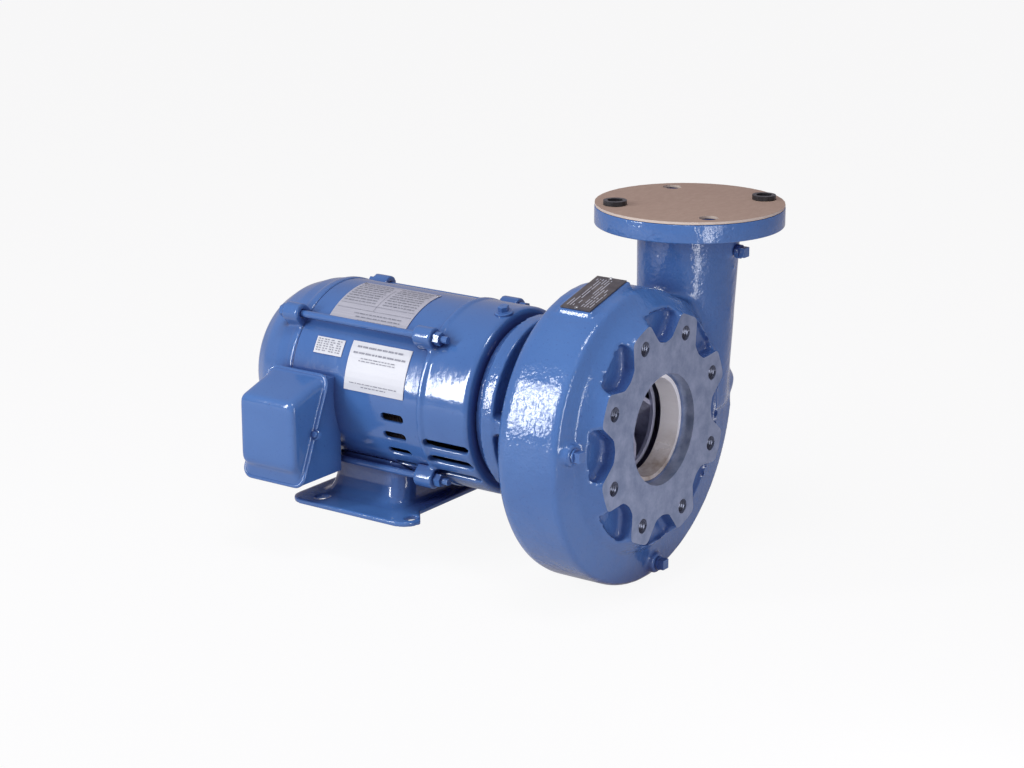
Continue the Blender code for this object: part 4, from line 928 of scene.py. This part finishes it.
def barrel_print(name, marks, look):
    """Lay (x0, x1, turn0, turn1) marks on the barrel's plates."""
    points, faces = [], []
    for x0, x1, a0, a1 in marks:
        first = len(points)
        steps = max(1, round((a1 - a0) / radians(2)))
        for i in range(steps + 1):
            y, z = polar(PRINT_RADIUS, a0 + (a1 - a0) * i / steps)
            points += [(x0, y, SHAFT_HEIGHT + z), (x1, y, SHAFT_HEIGHT + z)]
        faces += [(row, row + 1, row + 3, row + 2) for row in range(first, first + 2 * steps, 2)]
    piece = mesh_piece(name, points, faces, look)
    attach(piece, "pump_and_motor")


def prints(ink):
    """Words and rules on the motor's plate and two labels; each row draws from its own seed."""
    x0, x1 = SQUARE_LABEL_X
    marks = []
    for row, (angle, height, inset) in enumerate(SQUARE_LABEL_ROWS):
        word_row(marks, x0 + inset, x1 - inset, angle, height, 11 + row, 0.010 if row < 2 else 0.006)
    barrel_print("square_label_print", marks, ink)
    marks = []
    for column in range(4):
        start = RATING_LABEL_X + RATING_COLUMN_STEP * column
        for row in range(6):
            word_row(marks, start, start + RATING_COLUMN_WIDTH, 146.0 + 1.45 * row, 0.7,
                     40 + 7 * column + row, 0.004)
    barrel_print("rating_label_print", marks, ink)
    x0, x1 = MOTOR_PLATE_X
    middle = MOTOR_PLATE_MIDDLE
    marks = []
    for row in range(9):
        angle = 93.5 + 2.6 * row
        word_row(marks, x0, middle - 0.0060, angle, 0.8, 90 + row, 0.008)
        word_row(marks, middle + 0.0030, x1, angle, 0.8, 120 + row, 0.008)
    for angle in (92.2, 117.3, 121.6):
        marks.append((*MOTOR_PLATE_RULE_X, radians(angle), radians(angle + 0.25)))
    marks.append((middle - 0.0016, middle - 0.0012, radians(97), radians(121.6)))
    for row in range(3):
        word_row(marks, -0.0900 + 0.004 * row, -0.0300, 124.4 + 2.6 * row, 0.7, 150 + row, 0.007)
    barrel_print("motor_nameplate_print", marks, ink)


def plate_face(node):
    """Middle, long side, short side and outward direction of a flat plate's top."""
    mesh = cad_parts[node].data
    shaft = Vector((0, 0, SHAFT_HEIGHT))

    def outer_first(face):
        outer = face.normal.dot(face.center - shaft) > 0
        return round(face.area, 7) + (0.00001 if outer else 0)

    face = max(mesh.polygons, key=outer_first)
    points = {tuple(round(value, 5) for value in corner.co) for corner in mesh.vertices
              if abs((corner.co - face.center).dot(face.normal)) < 0.00005}
    points = [Vector(point) for point in sorted(points)]
    middle = sum(points, Vector()) / len(points)
    first = points[0]
    others = sorted((point - first for point in points[1:]), key=lambda side: side.length)
    return middle, others[1], others[0], face.normal.copy()


def pump_plate(ink, pin):
    """Lines on the casing's plate, and the pins of both plates."""
    middle, along, across, out = plate_face("pump_nameplate")
    points, faces = [], []
    pick = Random(5)
    for row in range(9):
        v = -0.38 + 0.095 * row
        u = -0.42
        while u < 0.40:
            end = min(0.42, u + pick.uniform(0.05, 0.30))
            if pick.random() < 0.82:
                first = len(points)
                points += [tuple(middle + along * a + across * b + out * 0.00012)
                           for a, b in ((u, v), (end, v), (end, v + 0.030), (u, v + 0.030))]
                faces.append((first, first + 1, first + 2, first + 3))
            u = end + 0.03
    lines = mesh_piece("pump_nameplate_lines", points, faces, ink)
    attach(lines, "pump_and_motor")
    for number, side in enumerate((-0.465, 0.465)):
        rivet = knob(f"pump_plate_pin_{number + 1}", middle + along * side, out, CASING_PIN, pin, 16)
        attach(rivet, "pump_and_motor")
    for number in range(4):
        x = (-0.1145, -0.0220)[number % 2]
        y, z = polar(FRAME_RADIUS + 0.0008, radians((92.2, 132.2)[number // 2]))
        rivet = knob(f"motor_plate_pin_{number + 1}", (x, y, SHAFT_HEIGHT + z), (0, y, z), MOTOR_PIN, pin, 16)
        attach(rivet, "pump_and_motor")


# Finishes of the CAD's own pieces

def dress(look, *names):
    for name in names:
        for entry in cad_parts[name].material_slots:
            entry.material = look


def dress_nodes():
    dress(cast_enamel(), "gauge_plug", "vent_plug", "drain_plug")
    dress(sheet_enamel(), "terminal_box_base", "through_bolt_1", "through_bolt_2", "through_bolt_3",
          "through_bolt_4")
    dress(turned_bronze(), "wear_ring")
    dress(cast_bronze(), "impeller")
    dress(ground_steel(), "pump_shaft", "motor_rotor", "stator_core")
    dress(cardboard(), "discharge_cover")
    dress(black_plastic(), "cover_bolt_near", "cover_bolt_far")
    dress(black_rubber(), "slinger")
    dress(winding_varnish(), "windings")
    dress(plate_metal(), "motor_nameplate")
    dress(dark_plate(), "pump_nameplate")
    dress(white_film(), "rating_label", "square_label")


# Studio

def add_camera():
    data = bpy.data.cameras.new("camera")
    data.lens = CAMERA_LENS
    data.sensor_width = SENSOR_WIDTH
    camera = link(bpy.data.objects.new("camera", data))
    level = cos(CAMERA_ELEVATION)
    back = Vector((sin(CAMERA_AZIMUTH) * level, -cos(CAMERA_AZIMUTH) * level, sin(CAMERA_ELEVATION)))
    camera.location = Vector(CAMERA_TARGET) + back * CAMERA_DISTANCE
    camera.rotation_euler = back.to_track_quat("Z", "Y").to_euler()
    bpy.context.scene.camera = camera


def add_lamp(name, direction, width, height, power, distance, mirrored):
    """A soft box; one that isn't mirrored lights the paint without showing in its gloss."""
    data = bpy.data.lights.new(name, "AREA")
    data.shape = "RECTANGLE"
    data.size = width
    data.size_y = height
    data.energy = power
    lamp = link(bpy.data.objects.new(name, data))
    out = Vector(direction).normalized()
    lamp.location = Vector(CAMERA_TARGET) + out * distance
    lamp.rotation_euler = out.to_track_quat("Z", "Y").to_euler()
    lamp.visible_glossy = mirrored
    lamp.visible_camera = False


def white_share(tree, share):
    """A factor for camera, mirror and glass rays, so that they see a white studio."""
    path = tree.nodes.new("ShaderNodeLightPath")
    seen = tree.nodes.new("ShaderNodeMath")
    seen.operation = "MAXIMUM"
    tree.links.new(path.outputs["Is Camera Ray"], seen.inputs[0])
    tree.links.new(path.outputs["Is Transmission Ray"], seen.inputs[1])
    glossy = tree.nodes.new("ShaderNodeMath")
    glossy.operation = "MULTIPLY_ADD"
    tree.links.new(path.outputs["Is Glossy Ray"], glossy.inputs[0])
    glossy.inputs[1].default_value = GLOSSY_WHITE_SHARE
    tree.links.new(seen.outputs[0], glossy.inputs[2])
    scaled = tree.nodes.new("ShaderNodeMath")
    scaled.operation = "MULTIPLY"
    tree.links.new(glossy.outputs[0], scaled.inputs[0])
    scaled.inputs[1].default_value = share
    return scaled.outputs[0]


def add_world():
    world = bpy.data.worlds.new("studio")
    bpy.context.scene.world = world
    world.use_nodes = True
    tree = world.node_tree
    tree.nodes.clear()
    output = tree.nodes.new("ShaderNodeOutputWorld")
    white = tree.nodes.new("ShaderNodeBackground")
    white.inputs["Color"].default_value = WHITE
    fill = tree.nodes.new("ShaderNodeBackground")
    fill.inputs["Color"].default_value = FILL_COLOUR
    fill.inputs["Strength"].default_value = FILL_STRENGTH
    mix = tree.nodes.new("ShaderNodeMixShader")
    tree.links.new(white_share(tree, 1.0), mix.inputs["Fac"])
    tree.links.new(fill.outputs[0], mix.inputs[1])
    tree.links.new(white.outputs[0], mix.inputs[2])
    tree.links.new(mix.outputs[0], output.inputs["Surface"])


def add_floor():
    """Pale floor that keeps a light shadow and is otherwise as white as the backdrop."""
    mesh = bpy.data.meshes.new("floor")
    half = FLOOR_HALF_SIZE
    corners = [(-half, -half, 0), (half, -half, 0), (half, half, 0), (-half, half, 0)]
    mesh.from_pydata(corners, [], [(0, 1, 2, 3)])
    floor = link(bpy.data.objects.new("floor", mesh))
    floor.location.z = CAD_BOX[0][2] - FLOOR_GAP
    look = Look("floor")
    cloud = look.noise(0.8, 2)
    look.set(Base_Color=look.mix(cloud, (0.62, 0.61, 0.65), (0.66, 0.65, 0.69)), Roughness=0.9)
    tree = look.tree
    white = tree.nodes.new("ShaderNodeEmission")
    white.inputs["Color"].default_value = WHITE
    mix = tree.nodes.new("ShaderNodeMixShader")
    output = next(node for node in tree.nodes if node.type == "OUTPUT_MATERIAL")
    tree.links.new(white_share(tree, FLOOR_WHITE_SHARE), mix.inputs["Fac"])
    tree.links.new(look.shader.outputs[0], mix.inputs[1])
    tree.links.new(white.outputs[0], mix.inputs[2])
    tree.links.new(mix.outputs[0], output.inputs["Surface"])
    mesh.materials.append(look.material)


def studio():
    add_camera()
    for lamp in LAMPS:
        add_lamp(*lamp)
    add_world()
    add_floor()
    bpy.context.scene.view_settings.view_transform = "Standard"


def build_pieces():
    cast = cast_enamel()
    sheet = sheet_enamel()
    bare = machined_iron()
    casing(cast, bare)
    threads(thread_metal())
    discharge_flange(cast)
    softened("adapter", cast, 0.0018, 4, 0)
    rear_dome(sheet)
    softened("motor_base", sheet, 0.0014, 3)
    motor_pieces(sheet)
    prints(ink())
    pump_plate(plate_metal(), ground_steel())


dress_nodes()
build_pieces()
studio()
